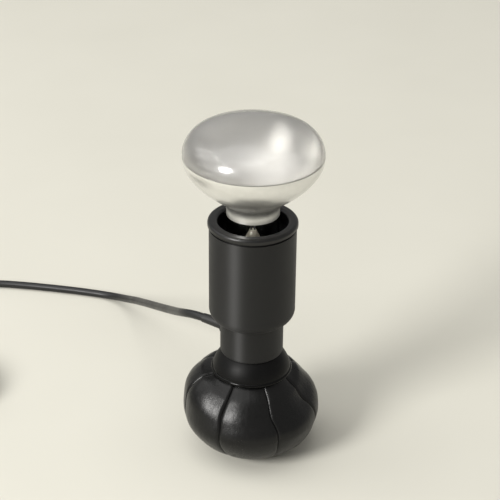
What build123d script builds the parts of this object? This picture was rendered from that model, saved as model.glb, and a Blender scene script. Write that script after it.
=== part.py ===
from build123d import *
import math
import os

# Table lamp: a screw-in reflector bulb in a turned black holder tube, clamped on a gored leather
# bag of lead shot, with a mains cord, an inline rocker switch and a flat two-pin plug.
# Millimetres, +Z up. The origin is the middle of the bag's foot, on the table.

# ---- clearances ---------------------------------------------------------------------------
SLIDE_GAP = 0.1          # pieces that slide into each other
THREAD_GAP = 0.05        # plain-turned stand-in threads of the M10 nipple and its nuts
SOFT_GAP = 0.3           # leather and shot beside pieces of another body
RUNNING_GAP = 0.06       # trunnion in its bearing

# ---- leather bag --------------------------------------------------------------------------
GORES = 8
FIRST_SEAM_DEG = 18.0    # angle from +X of the first seam
SEAM_DEPTH = 1.9         # how far the seams lie inside the crowned gores
LEATHER = 1.4
CONTACT_RADIUS = 21.0    # the gores leave the table here
SOLE_MARGIN = 3.0        # from the sole's edge out to there
FLANK = (33.8, 11.0)     # radius and height of a point on the lower flank
WIDEST = (40.4, 25.0)
SHOULDER = (38.2, 40.2)
CROWN_OFFSET = (6.8, 3.0)   # outside and below the middle of the collar's bead
SHOT_DROP = 4.4          # level of the shot below the bead's middle

# ---- collar and clamp ---------------------------------------------------------------------
COLLAR_RADIUS = 23.9     # over the rolled bead at the collar's lower edge
BEAD_RADIUS = 1.3
BEAD_HEIGHT = 53.5
COLLAR_TOP_RADIUS = 16.9
COLLAR_RISE = 12.0       # from the bead's middle to the collar's flat top
COLLAR_BULGE = 1.0       # how far the cone swells beyond a straight line
COLLAR_EASE = 0.8        # drop of the cone's eased upper edge
SHEET = 1.2              # wall of the spun collar and the tubes
CLAMP_RADIUS = 11.5
CLAMP_THICKNESS = 2.0
LEATHER_MOUTH = 7.0      # radius of the hole in the gathered leather
NIPPLE_RADIUS = 5.0
NIPPLE_BORE = 4.0
NUT_ACROSS_FLATS = 14.0
NUT_HEIGHT = 3.0
NIPPLE_TAIL = 2.0        # nipple below the lower nut
WASHER_RADIUS = 9.0
WASHER_THICKNESS = 1.0

# ---- tubes and rim ------------------------------------------------------------------------
LOWER_RADIUS = 18.5
LOWER_LENGTH = 22.0
LOWER_EDGE = 1.6         # rounding of the lower tube's bottom edge
HOUSING_RADIUS = 25.1
HOUSING_LENGTH = 59.2
HOUSING_EDGE = 7.0       # rounding of the housing's bottom edge
RIM_OVERHANG = 0.8       # rim ring beyond the housing
RIM_WIDTH = 5.1          # from the housing's outside in to the ring's bore
RIM_HEIGHT = 4.8
RIM_ROUND = 1.8
RIM_GROOVE = (0.9, 1.8)  # depth and height of the shadow groove between rim ring and housing
RIM_SPIGOT = 4.0

# ---- lampholder ---------------------------------------------------------------------------
HOLDER_DEPTH = 34.0      # from the contact block up to the holder's mouth
HOLDER_FLANGE = 3.3      # shoulder of the base beyond its dome
HOLDER_SKIRT = 2.1       # shoulder beyond the spigot
HOLDER_WALL = 2.0
HOLDER_LIFT = 1.8        # from the lock nut up to the domed base
HOLDER_NECK_RADIUS = 7.6
DOME_CLEAR = 1.3         # between the dome and the lower tube
DOME_SKIRT = 5.7         # straight part of the dome under the housing's floor
SHOULDER_THICKNESS = 2.0
SHOULDER_CHAMFER = 1.5   # clears the rounding inside the housing's floor
BLOCK_RISE = 5.3         # top of the ceramic contact block above the housing's floor
BLOCK_THICKNESS = 3.5
BLOCK_FLANGE = 1.6
LEAD_HOLE_RADIUS = 4.6
TERMINAL = (6.0, 6.0, 5.0)
TERMINAL_OFFSET = 8.0
SCREW_RADIUS = 1.4
SCREW_HEAD = (2.24, 1.0)  # radius and thickness
SLOT_WIDTH = 0.5
TONGUE = (0.5, 6.0)      # thickness and width of the centre contact
TONGUE_FOOT = (-7.0, -2.0)  # where its flat foot begins and ends
TONGUE_HEAD = (3.0, 6.0)

# ---- screw thread of the bulb and the holder ----------------------------------------------
PITCH = 3.629
CAP_ROOT = 12.15
CAP_CREST = 13.1
CAP_WALL = 0.35
SLEEVE_ROOT = 13.45
SLEEVE_CREST = 12.45
SLEEVE_WALL = 0.4
CAP_RIDGE = (1.5, 0.5)   # half widths of the cap's ridge at its root and its crest
SLEEVE_RIDGE = (1.2, 0.45)
THREAD_TURNS = 4.0
THREAD_LIFT = 5.6        # start of the cap's thread above its tip
SLEEVE_DEPTH = 5.0       # sleeve's edge below the holder's mouth

# ---- reflector bulb -----------------------------------------------------------------------
CONTACT_RISE = 3.4       # bulb's tip above the contact block
TIP_RADIUS = 4.6
TIP_HEIGHT = 1.0
INSULATOR_HEIGHT = 2.4
CAP_LENGTH = 27.0
GLASS = 1.0
NECK_RADIUS = 15.2
NECK_FLARE = 8.6         # from the cap up to the full neck
NECK_LENGTH = 25.0
FOOT_CLEAR = 9.2         # glass foot above the cap's insulator
BULB_RADIUS = 40.0
BOWL_HEIGHT = 25.5
DOME_HEIGHT = 20.6
DOME_RIM_ARC = 15.0      # radius of the arc that rounds the dome's rim
SWEEP = (4.8, 8.3)       # the neck's sweep out to the bowl: across and up
BOWL_SLOPE_DEG = 34.0
BOWL_HANDLES = (14.0, 9.0)  # pull of the bowl's curve at its foot and at its rim
NECK_HANDLES = (3.8, 3.5)
COATING = 0.2
COATING_SKIRT = 2.6      # silvering below the end of the neck
STEM_RADIUS = 4.0
STEM_HEIGHT = 35.0
FILAMENT_DROP = 13.8     # filament below the bulb's widest line
FILAMENT_SPREAD = 8.0
WIRE_RADIUS = 0.45
FILAMENT_RADIUS = 0.7

# ---- cord ---------------------------------------------------------------------------------
CORD_RADIUS = 2.5
CORE_RADIUS = 1.1
CORD_EXIT_DEG = 147.0    # angle from +X at which the cord leaves the lower tube
EXIT_CLEAR = 3.3         # gland's nut above the lower tube's floor
GLAND_FLANGE = 1.5
GLAND_LENGTH = 15.8      # how far the tapered relief stands out of the tube
GLAND_TAPER = (0.8, 0.3)  # wall of the relief at its root and at its mouth
GLAND_BARREL = 1.2       # wall of the gland's barrel
GLAND_RIM = 0.9          # flange beyond the barrel
GLAND_NUT_WALL = 1.3
GLAND_NUT = 2.0
CORD_INNER_END = 13.2    # radius at which the sheath ends inside the tube
CORE_TURN = (2.8, 3.4)   # where the cores turn up and where they lean in, inside the sheath's end
CORE_DROP = 1.5          # cores below the middle of the lead hole
LAID = CORD_RADIUS + 0.02
CORD_STRAIGHT = 40.3     # radius to which the cord heads straight out of the relief
HANDOVER = (-62.1, 92.1, 39.35)  # where the riser becomes the lead
RISER_POINTS = [(-41.5, 31.0, 71.0), (-48.2, 55.2, 57.5), HANDOVER]
LEAD_POINTS = [HANDOVER, (-76.0, 129.0, 21.2), (-83.8, 149.5, 10.3), (-96.5, 167.0, LAID),
               (-118.0, 172.9, LAID), (-140.0, 177.3, LAID), (-160.0, 180.8, LAID),
               (-181.0, 183.2, LAID), (-204.0, 181.2, LAID), (-221.5, 172.0, LAID),
               (-231.3, 155.5, 3.6)]
COIL_CENTRE = (-206.0, 43.0)
COIL_RADIUS = 29.0       # middle of the turns
COIL_TURNS_WIDE = 3
COIL_ENTRY = (0.5, -0.8)  # how far the cord swings sideways on its way into the coil
COIL_LAYERS = 3
TIE = (8.0, 0.8)         # width and thickness of the strap round the coil
TIE_DEG = 90.0
TAIL_POINTS = [(-240.0, 29.0, 3.6), (-240.3, 17.0, 4.6)]

# ---- inline switch ------------------------------------------------------------------------
SWITCH_CENTRE = (-232.0, 112.0)
SWITCH_LENGTH = 58.0
SWITCH_WIDTH = 24.0
SWITCH_SPLIT = 6.5       # parting line, at the cord's middle
SWITCH_HEIGHT = 15.5
SWITCH_WALL = 1.8
SWITCH_CORNER = 7.0
SWITCH_TOP_EDGE = 1.5
ROCKER_LENGTH = 15.2
ROCKER_WIDTH = 9.0
ROCKER_GAP = 0.9
ROCKER_DEPTH = 4.5       # pivot below the switch's top
ROCKER_PROUD = 0.9       # the rocker's ends above the switch's top when it stands level
ROCKER_DIP = 1.1         # how far its middle lies below its ends
ROCKER_KEEL = 1.4        # how far it reaches below its pivot
ROCKER_TILT = 7.0        # degrees either side of level
TRUNNION_RADIUS = 1.5
CHEEK = 1.6
CHEEK_GAP = 0.3
SCREW_INSET = (9.0, 6.0)  # case screws in from the switch's end and side
SWITCH_SCREW_RADIUS = 1.2
SWITCH_SCREW_HEAD = (2.2, 1.5)
SWITCH_BOSS_RADIUS = 3.2
CONTACT_STRIP = (7.0, 6.0, 0.8)  # length, width and thickness of a fixed contact
CONTACT_PLACE = 8.0
CONTACT_CLEAR = 3.5      # fixed contact below the rocker's keel

# ---- plug ---------------------------------------------------------------------------------
PLUG_TAIL = (-240.5, 5.0)   # where the cord enters the plug's relief
PLUG_RELIEF = 18.0
PLUG_LENGTH = 34.0
PLUG_HEIGHT = 13.6
PLUG_CHEEKS = 6.0        # plug's width beyond its pins' spacing
PLUG_EDGE = 3.0
RELIEF_WALL = (2.9, 0.9)  # wall of the plug's relief at the plug and at the cord
PIN_RADIUS = 2.0
PIN_LENGTH = 19.0
PIN_SPACING = 19.0
PIN_SLEEVE = 10.0
PIN_SLEEVE_RADIUS = 1.75
PIN_CORE_RADIUS = 1.4
PIN_ROOT = 6.0           # pin inside the plug

# ---- heights and radii that follow --------------------------------------------------------
FOOT_RADIUS = CONTACT_RADIUS - SOLE_MARGIN
BEAD_CENTRE_RADIUS = COLLAR_RADIUS - BEAD_RADIUS
CROWN = (BEAD_CENTRE_RADIUS + CROWN_OFFSET[0], BEAD_HEIGHT - CROWN_OFFSET[1])
SHOT_HEIGHT = BEAD_HEIGHT - SHOT_DROP
COLLAR_TOP = BEAD_HEIGHT + COLLAR_RISE
LEATHER_TOP = COLLAR_TOP - SHEET
CLAMP_TOP = LEATHER_TOP - LEATHER
CLAMP_BOTTOM = CLAMP_TOP - CLAMP_THICKNESS
NUT_BOTTOM = CLAMP_BOTTOM - NUT_HEIGHT
NIPPLE_BOTTOM = NUT_BOTTOM - NIPPLE_TAIL
TUBE_FLOOR = COLLAR_TOP + SHEET
WASHER_TOP = TUBE_FLOOR + WASHER_THICKNESS
LOCK_NUT_TOP = WASHER_TOP + NUT_HEIGHT
LOWER_BORE = LOWER_RADIUS - SHEET
LOWER_TOP = COLLAR_TOP + LOWER_LENGTH
HOUSING_FLOOR = LOWER_TOP + SHEET
HOUSING_TOP = LOWER_TOP + HOUSING_LENGTH
HOUSING_BORE = HOUSING_RADIUS - SHEET
RIM_RADIUS = HOUSING_RADIUS + RIM_OVERHANG
RIM_BORE = HOUSING_RADIUS - RIM_WIDTH
HOLDER_FOOT = LOCK_NUT_TOP + HOLDER_LIFT
NIPPLE_TOP = HOLDER_FOOT + HOLDER_WALL * 2
DOME_RADIUS = LOWER_BORE - DOME_CLEAR
DOME_SHOULDER = HOUSING_FLOOR - DOME_SKIRT
HOLDER_RADIUS = DOME_RADIUS + HOLDER_FLANGE
SPIGOT_RADIUS = HOLDER_RADIUS - HOLDER_SKIRT
LEAD_HOLE_HEIGHT = (NIPPLE_TOP + DOME_SHOULDER) / 2
SHOULDER_TOP = HOUSING_FLOOR + SHOULDER_THICKNESS
BLOCK_TOP = HOUSING_FLOOR + BLOCK_RISE
BLOCK_LEDGE = BLOCK_TOP - BLOCK_FLANGE
BLOCK_BOTTOM = BLOCK_LEDGE - BLOCK_THICKNESS
BLOCK_RADIUS = SPIGOT_RADIUS - HOLDER_WALL - SLIDE_GAP
HOLDER_TOP = BLOCK_TOP + HOLDER_DEPTH
SLEEVE_TOP = HOLDER_TOP - SLEEVE_DEPTH
SLEEVE_OUTER = SLEEVE_ROOT + SLEEVE_WALL
TIP = BLOCK_TOP + CONTACT_RISE
TIP_TOP = TIP + TIP_HEIGHT
INSULATOR_TOP = TIP_TOP + INSULATOR_HEIGHT
CAP_THREAD_START = TIP + THREAD_LIFT
CAP_TOP = TIP + CAP_LENGTH
GLASS_FOOT = INSULATOR_TOP + FOOT_CLEAR
GLASS_FOOT_RADIUS = CAP_ROOT - CAP_WALL - SLIDE_GAP
NECK_START = CAP_TOP + NECK_FLARE
NECK_END = NECK_START + NECK_LENGTH
BOWL_FOOT = (NECK_RADIUS + SWEEP[0], NECK_END + SWEEP[1])
BULB_WIDEST = BOWL_FOOT[1] + BOWL_HEIGHT
COATING_START = NECK_END - COATING_SKIRT
STEM_TOP = GLASS_FOOT + STEM_HEIGHT
FILAMENT_HEIGHT = BULB_WIDEST - FILAMENT_DROP
GLAND_BARREL_RADIUS = CORD_RADIUS + GLAND_BARREL
GLAND_FLANGE_RADIUS = GLAND_BARREL_RADIUS + GLAND_RIM
GLAND_NUT_RADIUS = GLAND_BARREL_RADIUS + GLAND_NUT_WALL
CORD_EXIT_HEIGHT = TUBE_FLOOR + GLAND_NUT_RADIUS + EXIT_CLEAR
COIL_OUTER = COIL_RADIUS + COIL_TURNS_WIDE * CORD_RADIUS
COIL_INNER = COIL_RADIUS - COIL_TURNS_WIDE * CORD_RADIUS
COIL_BOTTOM = TIE[1]
COIL_HEIGHT = CORD_RADIUS * (2 + (COIL_LAYERS - 1) * math.sqrt(3))
ROCKER_PIVOT = SWITCH_HEIGHT - ROCKER_DEPTH
ROCKER_END = SWITCH_HEIGHT + ROCKER_PROUD
ROCKER_FLOOR = ROCKER_PIVOT - ROCKER_KEEL
PLUG_WIDTH = PIN_SPACING + PLUG_CHEEKS
PLUG_FACE = PLUG_TAIL[1] - PLUG_RELIEF - PLUG_LENGTH


# ---- helpers ------------------------------------------------------------------------------
ON_TABLE = (Align.CENTER, Align.CENTER, Align.MIN)
HANGING = (Align.CENTER, Align.CENTER, Align.MAX)


def turned(points):
    """Solid of revolution about +Z from a closed outline of (radius, height) points."""
    outline = Polyline(*[(r, 0, z) for r, z in points], close=True)
    return revolve(make_face(outline), Axis.Z, 360)


def tube(outer, inner, bottom, top):
    """Plain round tube on the Z axis."""
    return turned([(inner, bottom), (outer, bottom), (outer, top), (inner, top)])


def rim_edges(body, radius, height):
    """Circular edges of a turned piece at one radius and height."""
    circles = body.edges().filter_by(GeomType.CIRCLE)
    return [e for e in circles if abs(e.radius - radius) < 0.01 and abs(e.arc_center.Z - height) < 0.01]


def beside(curve, distance, steps):
    """Points on the inner side of a curve in the XZ plane that runs upwards."""
    points = []
    for k in range(steps + 1):
        here = curve @ (k / steps)
        along = curve % (k / steps)
        points.append(here + Vector(-along.Z, 0, along.X) * distance)
    return points


def hex_nut(across_flats, bore, bottom, height):
    """Plain hexagon nut on the Z axis."""
    hexagon = RegularPolygon(radius=across_flats / 2, side_count=6, major_radius=False)
    nut = extrude(Plane.XY.offset(bottom) * hexagon, height)
    return nut - tube(bore, 0, bottom, bottom + height)


def outward(radius, height, side=0.0):
    """Point on the cord's exit line through the lower tube's wall, moved sideways by side."""
    angle = math.radians(CORD_EXIT_DEG)
    x = radius * math.cos(angle) - side * math.sin(angle)
    y = radius * math.sin(angle) + side * math.cos(angle)
    return (x, y, height)


def bend_radii(points):
    """The largest tangent arc for each corner of a route, from its shorter run and its turn."""
    corners = [Vector(*p) for p in points]
    radii = []
    for before, here, after in zip(corners, corners[1:], corners[2:]):
        run_in = here - before
        run_out = after - here
        turn = math.radians(run_in.get_angle(run_out))
        radii.append(0.45 * min(run_in.length, run_out.length) / math.tan(turn / 2))
    return radii


def cord_tube(name, points, radius=CORD_RADIUS):
    """Round cord along straight runs joined by tangent arcs."""
    radii = bend_radii(points)
    path = FilletPolyline(*points, radius=radii)
    section = Plane(origin=path @ 0, z_dir=path % 0) * Circle(radius)
    solid = sweep(section, path=path)
    print(name, "length", round(path.length, 1), "radii", [round(r, 1) for r in radii],
          "volume ratio", round(solid.volume / (math.pi * radius ** 2 * path.length), 4))
    return solid


# ---- leather bag --------------------------------------------------------------------------
HALF_GORE = 180.0 / GORES


def collar_line():
    """Outer line of the collar's cone from its bead up to its eased top edge."""
    low = Vector(BEAD_CENTRE_RADIUS + BEAD_RADIUS / 2, 0, BEAD_HEIGHT)
    high = Vector(COLLAR_TOP_RADIUS + COLLAR_EASE, 0, COLLAR_TOP - COLLAR_EASE)
    along = (high - low).normalized()
    middle = (low + high) / 2 + Vector(along.Z, 0, -along.X) * COLLAR_BULGE
    return ThreePointArc(low, middle, high)


def leather_line(draw=0.0):
    """Outer line of the leather from the table to its clamped top, drawn in at a seam."""
    under_bead = (BEAD_CENTRE_RADIUS, BEAD_HEIGHT - BEAD_RADIUS - SOFT_GAP * 2)
    inside_bead = (BEAD_CENTRE_RADIUS - BEAD_RADIUS - SOFT_GAP * 4, BEAD_HEIGHT)
    in_cone = beside(collar_line(), SHEET + SOFT_GAP * 5, 3)[2]
    top = (CLAMP_RADIUS + LEATHER, LEATHER_TOP)
    line = [(CONTACT_RADIUS, 0), FLANK, WIDEST, SHOULDER, CROWN, under_bead, inside_bead,
            (in_cone.X, in_cone.Z), top]
    points = []
    for radius, height in line:
        share = max(0.0, (radius - CLAMP_RADIUS) / (WIDEST[0] - CLAMP_RADIUS))
        points.append((radius - draw * share, 0, height))
    points[-1] = (top[0], 0, top[1])
    return Spline(*points, tangents=[(0.8, 0, 0.6), (-1, 0, 0)])


def leather_section(draw, angle):
    """Closed outline of the leather in the vertical plane at one angle."""
    outer = leather_line(draw)
    inner_points = beside(outer, LEATHER, 16)
    inner_points[0] = Vector(inner_points[0].X, 0, LEATHER)
    inner_points[-1] = Vector((outer @ 1).X, 0, LEATHER_TOP - LEATHER)
    inner = Spline(*inner_points)
    mouth = Polyline(outer @ 1, (LEATHER_MOUTH, 0, LEATHER_TOP),
                     (LEATHER_MOUTH, 0, LEATHER_TOP - LEATHER), inner @ 1)
    foot = FOOT_RADIUS + SLIDE_GAP
    base = Polyline(inner @ 0, (foot, 0, LEATHER), (foot, 0, 0), outer @ 0)
    wire = Wire([*outer.edges(), *mouth.edges(), *inner.edges(), *base.edges()])
    return Rot(0, 0, angle) * wire


def leather_gore(number):
    """One crowned gore between two seams."""
    middle = FIRST_SEAM_DEG + HALF_GORE * (2 * number - 1)
    sections = []
    for share in (-1.0, -0.5, 0.0, 0.5, 1.0):
        sections.append(leather_section(SEAM_DEPTH * share ** 2, middle + share * HALF_GORE))
    return Solid.make_loft(sections)


def foot_disc():
    """Round leather sole inside the gores' lower edges."""
    return tube(FOOT_RADIUS, 0, 0, LEATHER)


def shot_filling():
    """The lead shot as one mass, clear of the leather all round."""
    side = beside(leather_line(SEAM_DEPTH), LEATHER + SOFT_GAP, 24)
    floor = LEATHER + SOFT_GAP
    wall = [(p.X, p.Z) for p in side if floor < p.Z < SHOT_HEIGHT and p.X > COLLAR_TOP_RADIUS]
    return turned([(0, floor), (side[0].X - SOFT_GAP, floor), *wall, (0, wall[-1][1])])


# ---- collar, clamp and tubes --------------------------------------------------------------
def bag_collar():
    """Spun cone with a rolled bead, pressing the leather on the clamp disc."""
    outer = collar_line()
    inner_points = beside(outer, SHEET, 6)
    inner_points[-1] = Vector(inner_points[-1].X, 0, COLLAR_TOP - SHEET)
    inner = Spline(*inner_points)
    bore = NIPPLE_RADIUS + SLIDE_GAP
    top = Polyline(outer @ 1, (COLLAR_TOP_RADIUS, 0, COLLAR_TOP), (bore, 0, COLLAR_TOP),
                   (bore, 0, COLLAR_TOP - SHEET), inner @ 1)
    lower = Line(inner @ 0, outer @ 0)
    face = Face(Wire([*outer.edges(), *top.edges(), *inner.edges(), lower]))
    bead = Torus(BEAD_CENTRE_RADIUS, BEAD_RADIUS)
    return revolve(face, Axis.Z, 360) + Pos(0, 0, BEAD_HEIGHT) * bead


def clamp_disc():
    """Steel disc inside the bag's mouth."""
    disc = tube(CLAMP_RADIUS, NIPPLE_RADIUS + SLIDE_GAP, CLAMP_BOTTOM, CLAMP_TOP)
    return fillet(rim_edges(disc, CLAMP_RADIUS, CLAMP_TOP), CLAMP_THICKNESS / 3)


def clamp_nut():
    """Nut under the clamp disc."""
    return hex_nut(NUT_ACROSS_FLATS, NIPPLE_RADIUS + THREAD_GAP, NUT_BOTTOM, NUT_HEIGHT)


def threaded_nipple():
    """Hollow M10 rod that ties bag, collar, lower tube and lampholder together."""
    return tube(NIPPLE_RADIUS, NIPPLE_BORE, NIPPLE_BOTTOM, NIPPLE_TOP)


def lower_tube():
    """Short tube with a floor, standing on the collar."""
    shell = turned([(NIPPLE_RADIUS + SLIDE_GAP, COLLAR_TOP), (LOWER_RADIUS, COLLAR_TOP),
                    (LOWER_RADIUS, LOWER_TOP), (LOWER_BORE, LOWER_TOP), (LOWER_BORE, TUBE_FLOOR),
                    (NIPPLE_RADIUS + SLIDE_GAP, TUBE_FLOOR)])
    shell = fillet(rim_edges(shell, LOWER_RADIUS, COLLAR_TOP), LOWER_EDGE)
    shell = fillet(rim_edges(shell, LOWER_BORE, TUBE_FLOOR), LOWER_EDGE - SHEET)
    hole = Cylinder(GLAND_BARREL_RADIUS + SLIDE_GAP, LOWER_RADIUS * 2, align=ON_TABLE)
    return shell - exit_place(CORD_EXIT_HEIGHT) * hole


def floor_washer():
    """Washer on the lower tube's floor."""
    return tube(WASHER_RADIUS, NIPPLE_RADIUS + SLIDE_GAP, TUBE_FLOOR, WASHER_TOP)


def lock_nut():
    """Nut that closes the clamped stack."""
    return hex_nut(NUT_ACROSS_FLATS, NIPPLE_RADIUS + THREAD_GAP, WASHER_TOP, NUT_HEIGHT)


def housing():
    """Large tube with a rounded bottom edge and a hole for the lampholder's base."""
    hole = DOME_RADIUS + SLIDE_GAP * 2
    edge = min(HOUSING_EDGE, HOUSING_RADIUS - HOLDER_RADIUS + SHOULDER_CHAMFER)
    shell = turned([(hole, LOWER_TOP), (HOUSING_RADIUS, LOWER_TOP), (HOUSING_RADIUS, HOUSING_TOP),
                    (HOUSING_BORE, HOUSING_TOP), (HOUSING_BORE, HOUSING_FLOOR), (hole, HOUSING_FLOOR)])
    shell = fillet(rim_edges(shell, HOUSING_RADIUS, LOWER_TOP), edge)
    return fillet(rim_edges(shell, HOUSING_BORE, HOUSING_FLOOR), edge - SHEET)


def rim_ring():
    """Glossy ring with a rounded crown on the housing's mouth."""
    spigot = HOUSING_BORE - SLIDE_GAP
    top = HOUSING_TOP + RIM_HEIGHT
    depth, height = RIM_GROOVE
    groove = HOUSING_TOP + height
    ring = turned([(RIM_BORE, HOUSING_TOP - RIM_SPIGOT), (spigot, HOUSING_TOP - RIM_SPIGOT),
                   (spigot, HOUSING_TOP), (HOUSING_RADIUS - depth, HOUSING_TOP),
                   (HOUSING_RADIUS - depth, groove), (RIM_RADIUS, groove),
                   (RIM_RADIUS, top), (RIM_BORE, top)])
    ring = fillet(rim_edges(ring, RIM_RADIUS, top), RIM_ROUND)
    return fillet(rim_edges(ring, RIM_BORE, top), RIM_ROUND)


# ---- lampholder ---------------------------------------------------------------------------
def exit_place(height):
    """Place on the Z axis at one height, turned to face along the cord's exit line."""
    return Location(Plane(origin=(0, 0, height), x_dir=(0, 0, 1), z_dir=outward(1, 0)))


def holder_base():
    """Domed base of the lampholder; its shoulder pulls the housing down on the lower tube."""
    wall = HOLDER_WALL
    bore = NIPPLE_RADIUS + THREAD_GAP
    inner = DOME_RADIUS - wall
    base = turned([(bore, HOLDER_FOOT), (HOLDER_NECK_RADIUS, HOLDER_FOOT),
                   (HOLDER_NECK_RADIUS, NIPPLE_TOP - wall),
                   (DOME_RADIUS, DOME_SHOULDER), (DOME_RADIUS, HOUSING_FLOOR),
                   (HOLDER_RADIUS - SHOULDER_CHAMFER, HOUSING_FLOOR),
                   (HOLDER_RADIUS, HOUSING_FLOOR + SHOULDER_CHAMFER / 2),
                   (HOLDER_RADIUS, SHOULDER_TOP), (SPIGOT_RADIUS, SHOULDER_TOP),
                   (SPIGOT_RADIUS, BLOCK_LEDGE), (SPIGOT_RADIUS - wall, BLOCK_LEDGE),
                   (SPIGOT_RADIUS - wall, HOUSING_FLOOR), (inner, HOUSING_FLOOR - wall),
                   (inner, DOME_SHOULDER), (HOLDER_NECK_RADIUS, NIPPLE_TOP), (bore, NIPPLE_TOP)])
    hole = Cylinder(LEAD_HOLE_RADIUS, HOLDER_RADIUS * 2, align=ON_TABLE)
    reach = tube(HOLDER_NECK_RADIUS, 0, HOLDER_FOOT, BLOCK_TOP)
    return base - (exit_place(LEAD_HOLE_HEIGHT) * hole - reach)


def holder_body():
    """Skirt of the lampholder round the threaded sleeve."""
    seat = SPIGOT_RADIUS + SLIDE_GAP
    bore = SLEEVE_OUTER + SLIDE_GAP
    mouth = NECK_RADIUS + SHEET
    body = turned([(seat, SHOULDER_TOP), (HOLDER_RADIUS, SHOULDER_TOP), (HOLDER_RADIUS, HOLDER_TOP),
                   (mouth, HOLDER_TOP), (mouth, SLEEVE_TOP + SHEET), (bore, SLEEVE_TOP),
                   (bore, BLOCK_TOP), (seat, BLOCK_TOP)])
    return fillet(rim_edges(body, HOLDER_RADIUS, HOLDER_TOP), min(SHEET, (HOLDER_RADIUS - mouth) / 2))


def contact_block():
    """Ceramic disc with a flange on the base's spigot."""
    return turned([(0, BLOCK_BOTTOM), (BLOCK_RADIUS, BLOCK_BOTTOM), (BLOCK_RADIUS, BLOCK_LEDGE),
                   (SPIGOT_RADIUS, BLOCK_LEDGE), (SPIGOT_RADIUS, BLOCK_TOP), (0, BLOCK_TOP)])


def thread_ridge(root, crest, half_widths, start):
    """Helical ridge of the lamp thread, sunk a little into the wall that carries it."""
    path = Helix(pitch=PITCH, height=PITCH * THREAD_TURNS, radius=root, center=(0, 0, start))
    depth = crest - root
    sunk = -math.copysign(CAP_WALL / 2, depth)
    wide, narrow = half_widths
    outline = Polygon((sunk, -wide), (depth, -narrow), (depth, narrow), (sunk, wide), align=None)
    section = Plane(origin=path @ 0, x_dir=(1, 0, 0), z_dir=path % 0) * outline
    return sweep(section, path=path, is_frenet=True)


def thread_sleeve():
    """Brass screw shell of the lampholder."""
    wall = tube(SLEEVE_OUTER, SLEEVE_ROOT, BLOCK_TOP, SLEEVE_TOP)
    return wall + thread_ridge(SLEEVE_ROOT, SLEEVE_CREST, SLEEVE_RIDGE, CAP_THREAD_START + PITCH / 2)


def centre_contact():
    """Bent brass tongue under the bulb's tip."""
    thick, width = TONGUE
    start, bend = TONGUE_FOOT
    knee, end = TONGUE_HEAD
    rise = TIP - SLIDE_GAP
    lean = thick * 0.8
    outline = Polyline((start, 0, BLOCK_TOP), (bend, 0, BLOCK_TOP), (knee, 0, rise - thick),
                       (end, 0, rise - thick), (end, 0, rise), (knee - lean, 0, rise),
                       (bend - lean, 0, BLOCK_TOP + thick), (start, 0, BLOCK_TOP + thick), close=True)
    return extrude(make_face(outline), width / 2, both=True)


def terminal_blocks():
    """Two brass terminals under the contact block."""
    length, width, height = TERMINAL
    block = Pos(0, 0, BLOCK_BOTTOM) * Box(length, width, height, align=HANGING)
    block -= Pos(0, 0, BLOCK_BOTTOM) * Cylinder(SCREW_RADIUS + THREAD_GAP, height * 3)
    return [Pos(side * TERMINAL_OFFSET, 0, 0) * block for side in (-1, 1)]


def terminal_screws():
    """Slotted screws in the terminals."""
    height = TERMINAL[2]
    head_radius, head_height = SCREW_HEAD
    shank = Pos(0, 0, -head_height) * Cylinder(SCREW_RADIUS, height - head_height, align=HANGING)
    head = Pos(0, 0, -height) * Cylinder(head_radius, head_height, align=HANGING)
    slot = Pos(0, 0, -height - head_height) * Box(head_radius * 3, SLOT_WIDTH, head_height)
    screw = Pos(0, 0, BLOCK_BOTTOM) * (shank + head - slot)
    return [Pos(side * TERMINAL_OFFSET, 0, 0) * screw for side in (-1, 1)]


def inner_leads():
    """The two insulated cores from the sheath's end to the terminals."""
    leads = []
    beside_terminal = TERMINAL[1] / 2 + CORE_RADIUS + SLIDE_GAP
    up, lean = CORE_TURN
    for side in (-1, 1):
        offset = side * (CORE_RADIUS + SLIDE_GAP)
        start = outward(CORD_INNER_END - SLIDE_GAP, CORD_EXIT_HEIGHT, -offset)
        turn = outward(CORD_INNER_END - up, CORD_EXIT_HEIGHT, -offset)
        way = outward(CORD_INNER_END - lean, LEAD_HOLE_HEIGHT - CORE_DROP, -offset)
        block = (side * TERMINAL_OFFSET, beside_terminal, BLOCK_BOTTOM - TERMINAL[2] / 2)
        leads.append(cord_tube("core", [start, turn, way, block], CORE_RADIUS))
    return leads


# ---- bulb ---------------------------------------------------------------------------------
def dome_line(inset):
    """Dome as a rim arc and a crown arc that meet in one tangent, inset by a wall."""
    reach = BULB_RADIUS - DOME_RIM_ARC
    crown = (reach ** 2 + DOME_HEIGHT ** 2 - DOME_RIM_ARC ** 2) / (2 * (DOME_HEIGHT - DOME_RIM_ARC))
    crown_centre = Vector(0, 0, BULB_WIDEST + DOME_HEIGHT - crown)
    rim_centre = Vector(reach, 0, BULB_WIDEST)
    towards = (rim_centre - crown_centre).normalized()
    half_way = (towards + Vector(1, 0, 0)).normalized()
    high_way = (towards + Vector(0, 0, 1)).normalized()
    small = DOME_RIM_ARC - inset
    large = crown - inset
    meet = rim_centre + towards * small
    rim = ThreePointArc(rim_centre + Vector(small, 0, 0), rim_centre + half_way * small, meet)
    top = ThreePointArc(meet, crown_centre + high_way * large, crown_centre + Vector(0, 0, large))
    return Curve() + [rim, top]


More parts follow.
